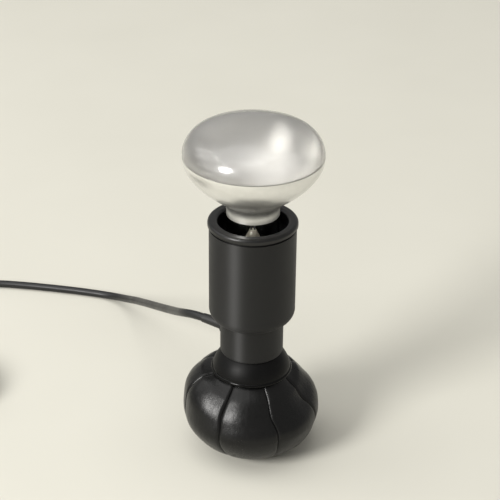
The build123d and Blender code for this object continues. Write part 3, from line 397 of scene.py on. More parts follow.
class Effects:
    """Surface effects as node groups, each built once.

    Specks, sharp, wander and pores are times the effect's own scale, folds are lumps per metre, and
    the shift of the cells is in metres.
    """

    made: dict[str, NodeTree] = {}
    specks: float = 9.0
    sharp: float = 3.1
    wander: float = 0.6
    shift: float = 0.0006
    pores: float = 4.0
    folds: float = 520.0

    @classmethod
    def group(cls, name: str, ins: dict[str, object], outs: dict[str, type], fill: Callable) -> NodeTree:
        """Make a group once.

        Args:
            name: Name of the group.
            ins: Inputs, each with its usual value; None stands for coordinates.
            outs: Outputs, each a float, or a tuple for a colour.
            fill: Called with the wrapped tree, the input node's outputs and the output node's inputs.

        Returns:
            The group.
        """
        if name in cls.made:
            return cls.made[name]
        group = bpy.data.node_groups.new(name, "ShaderNodeTree")
        kinds = {float: "NodeSocketFloat", tuple: "NodeSocketColor", type(None): "NodeSocketVector"}
        for label, usual in ins.items():
            kind = kinds[type(usual)]
            socket = group.interface.new_socket(name=label, in_out="INPUT", socket_type=kind)
            if usual is not None:
                socket.default_value = usual
        for label, kind in outs.items():
            group.interface.new_socket(name=label, in_out="OUTPUT", socket_type=kinds[kind])
        tree = Tree(group)
        source = tree.add("NodeGroupInput")
        sink = tree.add("NodeGroupOutput")
        fill(tree, source.outputs, sink.inputs)
        cls.made[name] = group
        return group

    @classmethod
    def place(cls, tree: Tree, group: NodeTree, **values: object) -> Node:
        """Put a group into a material with its own values.

        Args:
            tree: The material's tree.
            group: The group.
            values: Inputs by name.

        Returns:
            The group node.
        """
        node = tree.add("ShaderNodeGroup", node_tree=group)
        for label, value in values.items():
            tree.feed(node.inputs[label], value)
        return node

    @classmethod
    def handling(cls) -> NodeTree:
        """Clouds of handling marks that vary colour and roughness.

        Returns:
            The group.
        """

        def fill(tree: Tree, ins: object, outs: object) -> None:
            """Lay clouds and specks over each other.

            Args:
                tree: The group's tree.
                ins: Its inputs.
                outs: Its outputs.
            """
            cloud = tree.noise(ins["Vector"], ins["Scale"], detail=4.0, rough=0.6)
            finer = tree.math("MULTIPLY", ins["Scale"], cls.specks)
            specks = tree.noise(ins["Vector"], finer, detail=2.0)
            share = tree.spread(tree.blend(0.3, specks, cloud), start=0.38, end=0.62)
            tree.feed(outs["Colour"], tree.mix(share, ins["Dark"], ins["Light"]))
            tree.feed(outs["Roughness"], tree.spread(share, 0.0, 1.0, ins["Smooth"], ins["Rough"]))

        return cls.group(
            "handling_marks",
            {"Vector": None, "Scale": 60.0, "Dark": (*grey(0.01), 1.0), "Light": (*grey(0.02), 1.0),
             "Smooth": 0.3, "Rough": 0.4},
            {"Colour": tuple, "Roughness": float}, fill)

    @classmethod
    def grain(cls) -> NodeTree:
        """Fine grain of moulded, sprayed or cast surfaces, as a height.

        Returns:
            The group.
        """

        def fill(tree: Tree, ins: object, outs: object) -> None:
            """Lay a sharp grain over a soft one.

            Args:
                tree: The group's tree.
                ins: Its inputs.
                outs: Its outputs.
            """
            soft = tree.noise(ins["Vector"], ins["Scale"], detail=2.0)
            sharp = tree.noise(ins["Vector"], tree.math("MULTIPLY", ins["Scale"], cls.sharp), detail=1.0)
            tree.feed(outs["Height"], tree.blend(0.4, sharp, soft))

        return cls.group("surface_grain", {"Vector": None, "Scale": 2000.0}, {"Height": float}, fill)

    @classmethod
    def hide(cls) -> NodeTree:
        """Leather: small cells with creases between them, and a few longer wrinkles.

        Returns:
            The group.
        """

        def fill(tree: Tree, ins: object, outs: object) -> None:
            """Bend the cells, and lay pores and folds over them.

            Args:
                tree: The group's tree.
                ins: Its inputs.
                outs: Its outputs.
            """
            cells = tree.add("ShaderNodeTexVoronoi", feature="DISTANCE_TO_EDGE")
            bent = tree.add("ShaderNodeVectorMath", operation="MULTIPLY_ADD")
            wander = tree.add("ShaderNodeTexNoise")
            tree.feed(wander.inputs["Vector"], ins["Vector"])
            tree.feed(wander.inputs["Scale"], tree.math("MULTIPLY", ins["Scale"], cls.wander))
            tree.feed(bent.inputs[0], wander.outputs["Color"])
            bent.inputs[1].default_value = (cls.shift, cls.shift, cls.shift)
            tree.feed(bent.inputs[2], ins["Vector"])
            tree.feed(cells.inputs["Vector"], bent.outputs[0])
            tree.feed(cells.inputs["Scale"], ins["Scale"])
            crease = tree.spread(cells.outputs["Distance"], start=0.0, end=0.22)
            pore = tree.noise(ins["Vector"], tree.math("MULTIPLY", ins["Scale"], cls.pores), detail=1.0)
            upright = tree.stretch(ins["Vector"], (1.0, 1.0, 0.12))
            folds = tree.noise(upright, cls.folds, detail=2.0, rough=0.55)
            tree.feed(outs["Height"], tree.blend(0.25, pore, crease))
            tree.feed(outs["Folds"], tree.spread(folds, start=0.42, end=0.62))
            tree.feed(outs["Crease"], crease)

        return cls.group(
            "leather_hide", {"Vector": None, "Scale": 1100.0},
            {"Height": float, "Folds": float, "Crease": float}, fill)


# ---- finishes ----


def grey(level: float) -> Tint:
    """A neutral colour."""
    return level, level, level


@dataclass(frozen=True)
class Finish:
    """A surface finish with handling marks and a fine grain.

    Colours are linear, sizes are lumps per metre and the grain's depth is in metres.
    """

    name: str
    dark: Tint
    light: Tint
    smooth: float = 0.35
    rough: float = 0.45
    marks: float = 60.0
    metallic: float = 0.0
    coat: float = 0.0
    coat_rough: float = 0.08
    specular: float = 0.5
    turned: float = 0.0
    turned_angle: float = 0.0
    transmission: float = 0.0
    ior: float = 1.5
    grain: float = 2500.0
    depth: float = 0.00001
    stretch: Point = (1.0, 1.0, 1.0)

    def build(self) -> Material:
        """Make the material.

        Returns:
            The material.
        """
        material = bpy.data.materials.new(self.name)
        material.use_nodes = True
        material.node_tree.nodes.clear()
        tree = Tree(material.node_tree)
        shader = tree.add("ShaderNodeBsdfPrincipled")
        output = tree.add("ShaderNodeOutputMaterial")
        tree.feed(output.inputs["Surface"], shader.outputs[0])
        where = tree.add("ShaderNodeTexCoord").outputs["Object"]
        self.dress(tree, shader, tree.stretch(where, self.stretch))
        plain = {
            "Metallic": self.metallic, "Coat Weight": self.coat, "Coat Roughness": self.coat_rough,
            "Specular IOR Level": self.specular, "Anisotropic": self.turned,
            "Anisotropic Rotation": self.turned_angle, "Transmission Weight": self.transmission,
            "IOR": self.ior}
        for label, value in plain.items():
            shader.inputs[label].default_value = value
        return material

    def dress(self, tree: Tree, shader: Node, where: NodeSocket) -> None:
        """Join the finish's effects to the shader.

        Args:
            tree: The material's tree.
            shader: The shader.
            where: Coordinates.
        """
        marks = self.handled(tree, where)
        tree.feed(shader.inputs["Base Color"], marks.outputs["Colour"])
        tree.feed(shader.inputs["Roughness"], self.worn(tree, where, marks.outputs["Roughness"]))
        if self.depth:
            grain = Effects.place(tree, Effects.grain(), Vector=where, Scale=self.grain)
            self.emboss(tree, shader, grain.outputs["Height"])

    def handled(self, tree: Tree, where: NodeSocket) -> Node:
        """Put the handling marks into the tree, in the finish's colours.

        Args:
            tree: The material's tree.
            where: Coordinates.

        Returns:
            The group node.
        """
        return Effects.place(
            tree, Effects.handling(), Vector=where, Scale=self.marks, Dark=(*self.dark, 1.0),
            Light=(*self.light, 1.0), Smooth=self.smooth, Rough=self.rough)

    def worn(self, tree: Tree, where: NodeSocket, rough: NodeSocket) -> NodeSocket:
        """Roughness after wear, which a plain finish has none of."""
        return rough

    def emboss(self, tree: Tree, shader: Node, height: NodeSocket) -> None:
        """Feed a height to the shader's normal, at the finish's depth.

        Args:
            tree: The material's tree.
            shader: The shader.
            height: The height, from 0 to 1.
        """
        bump = tree.add("ShaderNodeBump")
        tree.feed(bump.inputs["Height"], height)
        bump.inputs["Strength"].default_value = 1.0
        bump.inputs["Distance"].default_value = self.depth
        tree.feed(shader.inputs["Normal"], bump.outputs["Normal"])


@dataclass(frozen=True)
class LeatherFinish(Finish):
    """Smooth aniline-black leather: fine cells, faint upright folds and rubbed cell tops.

    Cells are per metre. Folds add `dulled` to the roughness, and stand `upright` times as high as cells.
    """

    cells: float = 1100.0
    dulled: float = 0.05
    upright: float = 1.2

    def dress(self, tree: Tree, shader: Node, where: NodeSocket) -> None:
        """Join the hide's cells and folds to the shader.

        Args:
            tree: The material's tree.
            shader: The shader.
            where: Coordinates.
        """
        hide = Effects.place(tree, Effects.hide(), Vector=where, Scale=self.cells)
        marks = self.handled(tree, where)
        pale = tree.mix(hide.outputs["Crease"], (*self.dark, 1.0), marks.outputs["Colour"])
        tree.feed(shader.inputs["Base Color"], pale)
        folds = hide.outputs["Folds"]
        dull = tree.math("MULTIPLY_ADD", folds, self.dulled, marks.outputs["Roughness"])
        tree.feed(shader.inputs["Roughness"], dull)
        relief = tree.math("MULTIPLY_ADD", folds, self.upright, hide.outputs["Height"])
        self.emboss(tree, shader, relief)


@dataclass(frozen=True)
class RubbedFinish(Finish):
    """Black lacquer that hands have polished on the low bead of the collar.

    Bead and cone are heights in metres, between which the polish fades out.
    """

    bead: float = 0.0548
    cone: float = 0.0562
    polish: float = 0.35

    def worn(self, tree: Tree, where: NodeSocket, rough: NodeSocket) -> NodeSocket:
        """Roughness that the polish lowers up to the bead's height.

        Args:
            tree: The material's tree.
            where: Coordinates.
            rough: Roughness before wear.

        Returns:
            The roughness.
        """
        split = tree.add("ShaderNodeSeparateXYZ")
        tree.feed(split.inputs[0], where)
        gloss = tree.spread(split.outputs["Z"], self.bead, self.cone, self.polish)
        return tree.math("MULTIPLY", rough, gloss)


FINISHES: dict[Slot, Finish] = {
    Slot.LEATHER: LeatherFinish(
        "black_leather", grey(0.0026), (0.0046, 0.0046, 0.0044), 0.26, 0.31, marks=45.0, specular=0.30,
        depth=0.000018),
    Slot.SHOT: Finish(
        "lead_shot", (0.10, 0.10, 0.11), (0.22, 0.22, 0.23), 0.5, 0.7, metallic=0.8, depth=0.0002,
        grain=450.0),
    Slot.STEEL: Finish(
        "zinc_plated_steel", (0.46, 0.45, 0.42), (0.62, 0.61, 0.57), 0.25, 0.45, metallic=1.0,
        marks=140.0),
    Slot.LACQUER: Finish(
        "satin_black_lacquer", grey(0.0030), (0.0045, 0.0045, 0.0044), 0.48, 0.52, marks=50.0,
        specular=0.50, turned=0.88, turned_angle=0.25, grain=1500.0, depth=0.000004),
    Slot.RIM: Finish(
        "gloss_black_rim", grey(0.0030), grey(0.0045), 0.30, 0.36, marks=70.0, grain=1200.0,
        depth=0.000004),
    Slot.HOLDER: Finish(
        "moulded_black", grey(0.005), grey(0.008), 0.4, 0.5, marks=80.0, grain=3000.0, depth=0.00002),
    Slot.PORCELAIN: Finish(
        "glazed_porcelain", (0.72, 0.70, 0.65), (0.82, 0.80, 0.76), 0.12, 0.22, marks=90.0),
    Slot.BRASS: Finish(
        "stamped_brass", (0.62, 0.42, 0.15), (0.78, 0.56, 0.24), 0.22, 0.4, metallic=1.0, marks=150.0,
        stretch=(1.0, 1.0, 0.3)),
    Slot.INSULATION: Finish(
        "brown_insulation", (0.10, 0.045, 0.02), (0.14, 0.065, 0.03), 0.4, 0.5, marks=200.0),
    Slot.SILVER: Finish(
        "mirror_silvering", (0.86, 0.855, 0.84), (0.93, 0.925, 0.91), 0.10, 0.16, metallic=1.0,
        marks=35.0, depth=0.0),
    Slot.CAP: Finish(
        "drawn_aluminium", (0.72, 0.72, 0.71), (0.83, 0.83, 0.82), 0.28, 0.42, metallic=1.0, marks=160.0,
        stretch=(1.0, 1.0, 4.0)),
    Slot.BLACK_GLASS: Finish(
        "black_glass", (0.006, 0.006, 0.007), (0.012, 0.012, 0.013), 0.08, 0.16, marks=120.0),
    Slot.SOLDER: Finish(
        "solder", (0.55, 0.55, 0.54), (0.70, 0.70, 0.69), 0.3, 0.45, metallic=1.0, marks=300.0,
        grain=900.0, depth=0.00008),
    Slot.TUNGSTEN: Finish(
        "tungsten", (0.16, 0.16, 0.17), (0.26, 0.26, 0.27), 0.4, 0.6, metallic=1.0, grain=6000.0,
        depth=0.00005),
    Slot.CORD: Finish(
        "black_vinyl", (0.0045, 0.0045, 0.0047), (0.0075, 0.0075, 0.0078), 0.34, 0.46, marks=55.0,
        grain=1800.0, depth=0.000012),
    Slot.TIE: Finish(
        "woven_tie", grey(0.012), grey(0.030), 0.65, 0.8, marks=900.0, grain=1600.0, depth=0.00012),
    Slot.SWITCH: Finish(
        "spark_textured_black", grey(0.006), grey(0.009), 0.38, 0.5, marks=70.0, grain=2600.0,
        depth=0.00003),
    Slot.PLUG: Finish(
        "moulded_plug_black", grey(0.006), grey(0.009), 0.42, 0.52, marks=80.0, grain=2200.0,
        depth=0.00003),
    Slot.NICKEL: Finish(
        "nickel_plate", (0.62, 0.58, 0.52), (0.76, 0.72, 0.66), 0.16, 0.3, metallic=1.0, marks=220.0,
        stretch=(3.0, 0.4, 3.0)),
    Slot.GLASS: Finish(
        "clear_glass", (0.93, 0.95, 0.94), (1.0, 1.0, 1.0), 0.0, 0.03, marks=30.0, transmission=1.0,
        depth=0.0),
}

FROSTED = Finish(
    "frosted_glass", (0.90, 0.89, 0.87), (0.95, 0.945, 0.93), 0.34, 0.40, marks=22.0, coat=1.0,
    coat_rough=0.03, transmission=0.96, ior=1.45, depth=0.0)
SILVERED = Finish(
    "silvered_glass", (0.76, 0.755, 0.735), (0.84, 0.835, 0.815), 0.34, 0.40, marks=30.0, metallic=1.0,
    coat=0.6, coat_rough=0.04, depth=0.0)
RUBBED_COLLAR = RubbedFinish(
    "rubbed_black_lacquer", grey(0.0018), grey(0.0026), 0.42, 0.48, marks=50.0, specular=0.15,
    grain=1500.0, depth=0.000003)
# Stem glass: real pressed glass, but its pale warm beige colour is a painted glint, so the stem shows light
# in the dark neck where clear glass would stay black.
STEM_GLASS_PAINTED_GLINT = Finish(
    "stem_glass_painted_glint", (0.62, 0.57, 0.46), (0.74, 0.69, 0.58), 0.18, 0.28, marks=90.0, transmission=0.25,
    depth=0.0)


class Paint:
    """Builds each finish once and lends it out."""

    made: dict[str, Material] = {}

    @classmethod
    def of(cls, finish: Finish | Slot) -> Material:
        """Find or build the material of a finish or a slot.

        Args:
            finish: The finish, or the slot that has one.

        Returns:
            The material.
        """
        chosen = FINISHES[finish] if isinstance(finish, Slot) else finish
        if chosen.name not in cls.made:
            cls.made[chosen.name] = chosen.build()
        return cls.made[chosen.name]


# ---- studio ----


@dataclass
class Softbox:
    """A round soft light that looks at the lamp, in degrees, metres and watts."""

    name: str
    azimuth: float
    elevation: float
    distance: float
    size: Spot
    power: float
    colour: Tint

    def build(self, target: Vector) -> None:
        """Hang the light.

        Args:
            target: What it looks at.
        """
        turn, rise = math.radians(self.azimuth), math.radians(self.elevation)
        towards = Vector((math.sin(turn) * math.cos(rise), -math.cos(turn) * math.cos(rise), math.sin(rise)))
        bpy.ops.object.light_add(type="AREA", location=target + towards * self.distance)
        light = bpy.context.object
        light.name = self.name
        light.data.shape = "ELLIPSE"
        light.data.size, light.data.size_y = self.size
        light.data.energy = self.power
        light.data.color = self.colour
        light.rotation_euler = towards.to_track_quat("Z", "Y").to_euler()


@dataclass
class Studio:
    """Pale floor, soft light and the camera.

    Focal length and width are in pixels, the sensor in millimetres, the rest in metres and degrees.
    """

    focal: float = 1680.0
    width: float = 500.0
    sensor: float = 36.0
    pitch: float = 28.7
    distance: float = 0.960
    roll: float = 0.57
    target: Point = (-0.0015, 0.0, 0.1315)
    clip: Spot = (0.05, 50.0)
    floor_size: float = 40.0
    floor_dark: Tint = (0.665, 0.652, 0.578)
    floor_light: Tint = (0.690, 0.677, 0.603)
    sky: Tint = (1.0, 0.985, 0.955)
    sky_strength: float = 0.40
    lit: Point = (0.0, 0.0, 0.1)
    lights: tuple[Softbox, ...] = (
        Softbox("key_umbrella", -48.0, 28.0, 3.0, (1.10, 1.20), 86.0, (1.0, 0.985, 0.96)),
        Softbox("left_wall", -108.0, 38.0, 3.0, (2.2, 1.8), 11.0, (1.0, 0.99, 0.97)),
        Softbox("ceiling_bounce", -80.0, 76.0, 3.4, (4.0, 4.0), 54.0, (1.0, 0.99, 0.97)),
    )

    def camera(self) -> None:
        """Set up the camera, in front of the lamp and looking down at it."""
        tilt, roll = math.radians(self.pitch), math.radians(self.roll)
        ahead = Vector((0.0, math.cos(tilt), -math.sin(tilt)))
        level, high = Vector((1.0, 0.0, 0.0)), Vector((0.0, math.sin(tilt), math.cos(tilt)))
        right = level * math.cos(roll) + high * math.sin(roll)
        up = high * math.cos(roll) - level * math.sin(roll)
        place = Vector(self.target) - ahead * self.distance
        bpy.ops.object.camera_add(location=place)
        camera = bpy.context.object
        camera.name = "camera"
        axes = Matrix((right, up, -ahead)).transposed().to_4x4()
        camera.matrix_world = Matrix.Translation(place) @ axes
        camera.data.sensor_width = self.sensor
        camera.data.lens = self.sensor * self.focal / self.width
        camera.data.clip_start, camera.data.clip_end = self.clip
        bpy.context.scene.camera = camera

    def build(self) -> None:
        """Set up the floor and the lights."""
        Bench.clear()
        bpy.ops.mesh.primitive_plane_add(size=self.floor_size, location=(0.0, 0.0, 0.0))
        floor = bpy.context.object
        floor.name = "floor"
        cream = Finish("floor_paper", self.floor_dark, self.floor_light, 0.75, 0.85, marks=1.2, specular=0.2,
                       depth=0.0)
        Bench.finish(floor, Paint.of(cream))
        for light in self.lights:
            light.build(Vector(self.lit))
        world = bpy.data.worlds.new("studio")
        world.use_nodes = True
        shade = world.node_tree.nodes["Background"]
        shade.inputs["Color"].default_value = (*self.sky, 1.0)
        shade.inputs["Strength"].default_value = self.sky_strength
        bpy.context.scene.world = world
        bpy.context.scene.view_settings.view_transform = "Standard"


# ---- cord ----


@dataclass
class Coil:
    """The put-away turns of the cord, wound beside and on each other.

    Turns give each one's radius and height in millimetres; a turn moves on to the next after the
    share `shift_from` of its corners.
    """

    centre: Spot = (-206.0, 43.0)
    turns: tuple[Spot, ...] = (
        (34.0, 3.32), (29.0, 3.32), (24.0, 3.32), (26.5, 7.65), (31.5, 7.65), (29.0, 11.96), (34.0, 11.96))
    corners: int = 16
    first: float = 180.0
    shift_from: float = 0.55

    def points(self) -> list[Point]:
        """Corners of the turns, in millimetres.

        Returns:
            The points, from the first turn's start to the last turn's end.
        """
        pull = 1.0 / math.cos(math.pi / self.corners)
        found = []
        for turn, (radius, height) in enumerate(self.turns):
            then = self.turns[min(turn + 1, len(self.turns) - 1)]
            for k in range(self.corners):
                share = eased((k / self.corners - self.shift_from) / (1.0 - self.shift_from))
                reach = (radius + (then[0] - radius) * share) * pull
                angle = math.radians(self.first) + math.tau * (k + 0.5) / self.corners
                found.append((
                    self.centre[0] + reach * math.cos(angle), self.centre[1] + reach * math.sin(angle),
                    height + (then[1] - height) * share))
        return found


@dataclass
class Flex:
    """One length of cord: its route, in millimetres, and the bodies and points listed for it.

    The bodies, still and moving points, far end, lay and pieces are not used here. Edges
    sharper than `caps`, in degrees, stay sharp.
    """

    name: str
    route: Sequence[Point]
    stands_for: Sequence[str]
    bodies: tuple[Body, Body]
    still: Point
    moving: Point
    far_end: str
    lay: str
    diameter: float = 5.0
    pieces: Sequence[str] = ()
    order: int = 3
    steps: int = 10
    rounding: int = 5
    caps: float = 50.0

    def spline(self, thickness: float) -> Object:
        """Smooth curve along the route.

        Args:
            thickness: Radius of the curve's bevel in metres, or 0 for the bare line.

        Returns:
            The curve object.
        """
        curve = bpy.data.curves.new(self.name, "CURVE")
        curve.dimensions = "3D"
        curve.resolution_u = self.steps
        curve.bevel_depth = thickness
        curve.bevel_resolution = self.rounding
        curve.use_fill_caps = thickness > 0
        line = curve.splines.new("NURBS")
        line.points.add(len(self.route) - 1)
        for spot, place in zip(line.points, self.route):
            spot.co = (*[c * MM for c in place], 1.0)
        line.order_u = self.order
        line.use_endpoint_u = True
        piece = bpy.data.objects.new(self.name, curve)
        bpy.context.scene.collection.objects.link(piece)
        return piece

    def build(self) -> float:
        """Lay the cord.

        Returns:
            Its length in metres.
        """
        bare = self.spline(0.0)
        bpy.context.view_layer.update()
        mesh = bpy.data.meshes.new_from_object(bare)
        line = [v.co.copy() for v in mesh.vertices]
        bpy.data.objects.remove(bare)
        length = sum((b - a).length for a, b in zip(line, line[1:]))
        piece = self.spline(self.diameter / 2 * MM)
        Bench.take(piece)
        bpy.ops.object.convert(target="MESH")
        piece = bpy.context.object
        piece.name = self.name
        Bench.edit(piece)
        bpy.ops.mesh.remove_doubles(threshold=WELD)
        bpy.ops.mesh.normals_make_consistent(inside=False)
        Bench.take(piece)
        bpy.ops.object.shade_smooth_by_angle(angle=math.radians(self.caps))
        Bench.finish(piece, Paint.of(Slot.CORD))
        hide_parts(*self.stands_for)
        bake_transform(piece)
        return length


@dataclass
class Cord:
    """The mains cord: down from the tube to the table, out to the switch, the coil and the plug."""

    handover: Point = (-62.1, 92.1, 39.35)
    out_of_tube: tuple[Point, ...] = ((-11.07, 7.19, 75.0), (-21.8, 14.16, 75.0), (-33.8, 21.95, 75.0))
    relief_mouth: Point = (-28.77, 18.68, 75.0)
    falling: tuple[Point, ...] = ((-41.5, 31.0, 71.0), (-48.2, 55.2, 57.5))
    along: tuple[Point, ...] = (
        (-76.0, 129.0, 21.2), (-83.8, 149.5, 10.3), (-96.5, 167.0, 2.52), (-118.0, 172.9, 2.52),
        (-140.0, 177.3, 2.52), (-160.0, 180.8, 2.52), (-181.0, 183.2, 2.52), (-204.0, 181.2, 2.52),
        (-221.5, 172.0, 2.52), (-231.1, 157.0, 3.3), (-232.0, 144.5, 6.4))
    in_switch: tuple[Point, ...] = ((-232.0, 128.0, 6.5), (-232.0, 96.0, 6.5), (-232.0, 80.0, 6.4))
    into_coil: tuple[Point, ...] = ((-232.9, 71.0, 4.4), (-235.6, 62.0, 3.4))
    out_of_coil: tuple[Point, ...] = ((-240.2, 33.0, 11.9), (-240.4, 19.0, 9.2), (-240.5, 7.0, 6.9),
                                      (-240.5, -7.0, 6.8))
    coil: Coil = field(default_factory=Coil)

    def build(self) -> None:
        """Lay both lengths of the cord."""
        riser = Flex(
            "cord_riser_flex", (*self.out_of_tube, *self.falling, self.handover), ["cord_riser"],
            (Body.FILLING, Body.HEAD), self.handover, self.relief_mouth, "object", "hanging")
        lead = Flex(
            "cord_lead_flex",
            (self.handover, *self.along, *self.in_switch, *self.into_coil, *self.coil.points(),
             *self.out_of_coil),
            ["cord_lead", "cord_link", "cord_coil", "cord_tail"], (Body.BAG, Body.FILLING), (0.0, 0.0, 16.5),
            (0.0, 0.0, self.handover[2]), "plug", "coiled",
            pieces=["switch_base", "switch_cover", "rocker", "switch_screws", "coil_tie", "plug_body",
                    "plug_pins", "pin_sleeves"])
        for part in (riser, lead):
            LOG.info("%s laid, %.3f m", part.name, part.build())


# ---- leather bag ----


@dataclass
class LeatherBag:
    """Eight leather gores round the shot, seamed from the sole to the collar.

    Points of a line give radius and height, in millimetres, and `front` is what `above` becomes where
    the bag is slack. Each of `leans` and `droop` is a reach, its middle height and half its width.
    `wander_top` and `wander_low` are the seams' even and uneven stray, in degrees, and its height.
    """

    gores: int = 8
    first_seam: float = 18.0
    columns: int = 30
    rows: int = 12
    leather: float = 1.4
    below: tuple[Spot, ...] = ((18.4, 0.15), (20.4, 0.35), (34.2, 10.8), (40.5, 23.5))
    above: tuple[Spot, ...] = (
        (40.5, 23.5), (38.3, 39.5), (29.8, 50.2), (22.6, 51.8), (20.3, 53.7), (18.1, 59.7), (12.9, 64.25),
        (7.2, 64.25))
    front: tuple[Spot, ...] = (
        (40.5, 23.5), (36.7, 34.3), (29.3, 44.8), (22.6, 50.8), (20.3, 53.4), (18.1, 59.7), (12.9, 64.25),
        (7.2, 64.25))
    sole: float = 3.0
    collar: float = 46.5
    mouth: float = 11.5
    leans: tuple[Point, ...] = ((-1.5, 44.0, 14.0), (0.9, 11.0, 11.0))
    droop: Point = (1.6, 47.0, 11.0)
    drawn_towards: float = -70.0
    drawn_reach: float = 1.35
    unrolled: Spot = (0.55, 22.0)
    wander_top: Point = (2.6, 6.2, 53.0)
    wander_low: Point = (3.3, 10.4, 29.0)
    shelf: Spot = (50.5, 11.0)
    shelf_share: float = 0.95
    swell: float = 0.75
    groove: float = 1.35
    roll: float = 1.9
    sewn: float = 2.2
    bunching: float = 1.7
    folds: float = 0.05
    folds_free: float = 8.0
    seam_grip: int = 6
    lump: Point = (9.0, 9.0, 16.0)
    pleat: Point = (17.0, 22.0, 3.7)
    gathered: tuple[Spot, Spot] = ((47.0, 9.0), (0.0, 12.0))
    shares: Point = (1.4, 0.35, 1.3)
    probe: float = 0.004
    packing: float = 2.3
    shot_floor: float = 2.0
    shot_top: float = 52.0

    def line(self) -> tuple[list[Spot], list[Spot]]:
        """Outer line of the leather, cut at its widest point.

        Returns:
            The lower and the upper part.
        """
        whole = smooth_line((*self.below, *self.above[1:]), self.rows)
        cut = self.rows * (len(self.below) - 1)
        return whole[:cut + 1], whole[cut:]

    def dip(self, share: float, radius: float) -> float:
        """How far the leather lies inside its gore's crown.

        Args:
            share: Place across the gore, 0 at its middle and 1 at a seam.
            radius: Radius of the crown there, in millimetres.

        Returns:
            The dip in millimetres.
        """
        scale = max(0.0, (radius - self.mouth) / (self.above[0][0] - self.mouth))
        sewn = min(1.0, self.sewn * scale)
        away = (1.0 - share) * math.pi / self.gores * radius
        inside = max(0.0, 1.0 - away / (self.roll * math.sqrt(max(sewn, TINY))))
        crease = self.groove * (1.0 - math.sqrt(1.0 - inside * inside))
        return scale * self.swell * share ** 2 + sewn * crease

    def place(self, turn: float, radius: float, height: float) -> Vector:
        """Point of the leather.

        Args:
            turn: Angle round the bag in gores, from the first seam.
            radius: Radius of the crown, in millimetres.
            height: Height in millimetres.

        Returns:
            The point in metres.
        """
        across = 2.0 * (turn - math.floor(turn)) - 1.0
        packed = math.copysign(1.0 - (1.0 - abs(across)) ** self.bunching, across)
        angle = (math.floor(turn) + (packed + 1.0) / 2.0) * math.tau / self.gores
        angle += math.radians(self.first_seam)
        angle += math.radians(self.strayed(angle, height))
        dip = self.dip(abs(packed), radius)
        lying = peak(height, *self.shelf)
        out = radius - dip * math.sqrt(1.0 - self.shelf_share * lying * lying)
        spot = Vector((out * math.cos(angle), out * math.sin(angle), height))
        soft = noise.noise(Vector([a / b for a, b in zip(spot, self.lump)]))
        fold = noise.noise(Vector((angle * self.pleat[0], height / self.pleat[1], self.pleat[2])))
        free = held((radius - self.mouth) / self.folds_free) * held(height / self.sole)
        free *= 1.0 - abs(packed) ** self.seam_grip
        gathers = sum(peak(height, *where) for where in self.gathered)
        lumps, plain, pleats = self.shares
        push = self.folds * free * (lumps * soft + fold * (plain + pleats * gathers))
        aside, inwards, down = self.slump(angle, radius, height)
        out += push - inwards
        high = height - down - dip * lying
        return Vector((math.cos(angle) * out + aside, math.sin(angle) * out, high)) * MM

    def along(self, radius: float, height: float) -> float:
        """Place along the upper outer line, as a value that only grows towards the mouth."""
        share, start = self.unrolled
        return height - share * max(0.0, radius - start)

    @cached_property
    def steps(self) -> list[Point]:
        """Places along the full line, and how far inwards and down the slack one lies there."""
        lines = smooth_line(self.above, self.rows), smooth_line(self.front, self.rows)
        return [(self.along(*full), full[0] - slack[0], full[1] - slack[1]) for full, slack in zip(*lines)]

    def drawn(self, radius: float, height: float) -> Spot:
        """How far the slack front lies inside and below the full back of the bag.

        Args:
            radius: Radius of the crown, in millimetres.
            height: Height in millimetres.

        Returns:
            The steps inwards and down, in millimetres.
        """
        here = self.along(radius, height)
        k = bisect(self.steps, here, key=lambda step: step[0])
        if k == 0 or k == len(self.steps):
            return 0.0, 0.0
        (start, *a), (end, *b) = self.steps[k - 1:k + 1]
        share = (here - start) / (end - start)
        return a[0] + (b[0] - a[0]) * share, a[1] + (b[1] - a[1]) * share

    def strayed(self, angle: float, height: float) -> float:
        """How far hand-cut seams stray from even spacing, in degrees.

        Args:
            angle: Angle round the bag.
            height: Height in millimetres.

        Returns:
            The extra angle.
        """
        (*top, high), (*low, deep) = self.wander_top, self.wander_low
        share = eased((high - height) / (high - deep))
        even, uneven = (a + (b - a) * share for a, b in zip(top, low))
        return even + uneven * math.cos(angle)

    def slump(self, angle: float, radius: float, height: float) -> Point:
        """How the soft bag departs from a true turned form.

        Args:
            angle: Angle round the bag.
            radius: Radius of the crown, in millimetres.
            height: Height in millimetres.

        Returns:
            How far the leather lies to the side, inwards and lower, in millimetres.
        """
        aside = sum(hump(height, *lean) for lean in self.leans)
        down = max(0.0, math.cos(angle)) * hump(height, *self.droop)
        drawn = eased(self.drawn_reach * math.cos(angle - math.radians(self.drawn_towards)))
        inwards, lower = self.drawn(radius, height)
        return aside, drawn * inwards, down + drawn * lower

    def read(self, spot: Vector) -> Point:
        """Gores round the bag, radius and height, in millimetres, of a point of a turned skin."""
        turn = (math.atan2(spot.y, spot.x) % math.tau) / math.tau * self.gores
        return turn, math.hypot(spot.x, spot.y) / MM, spot.z / MM

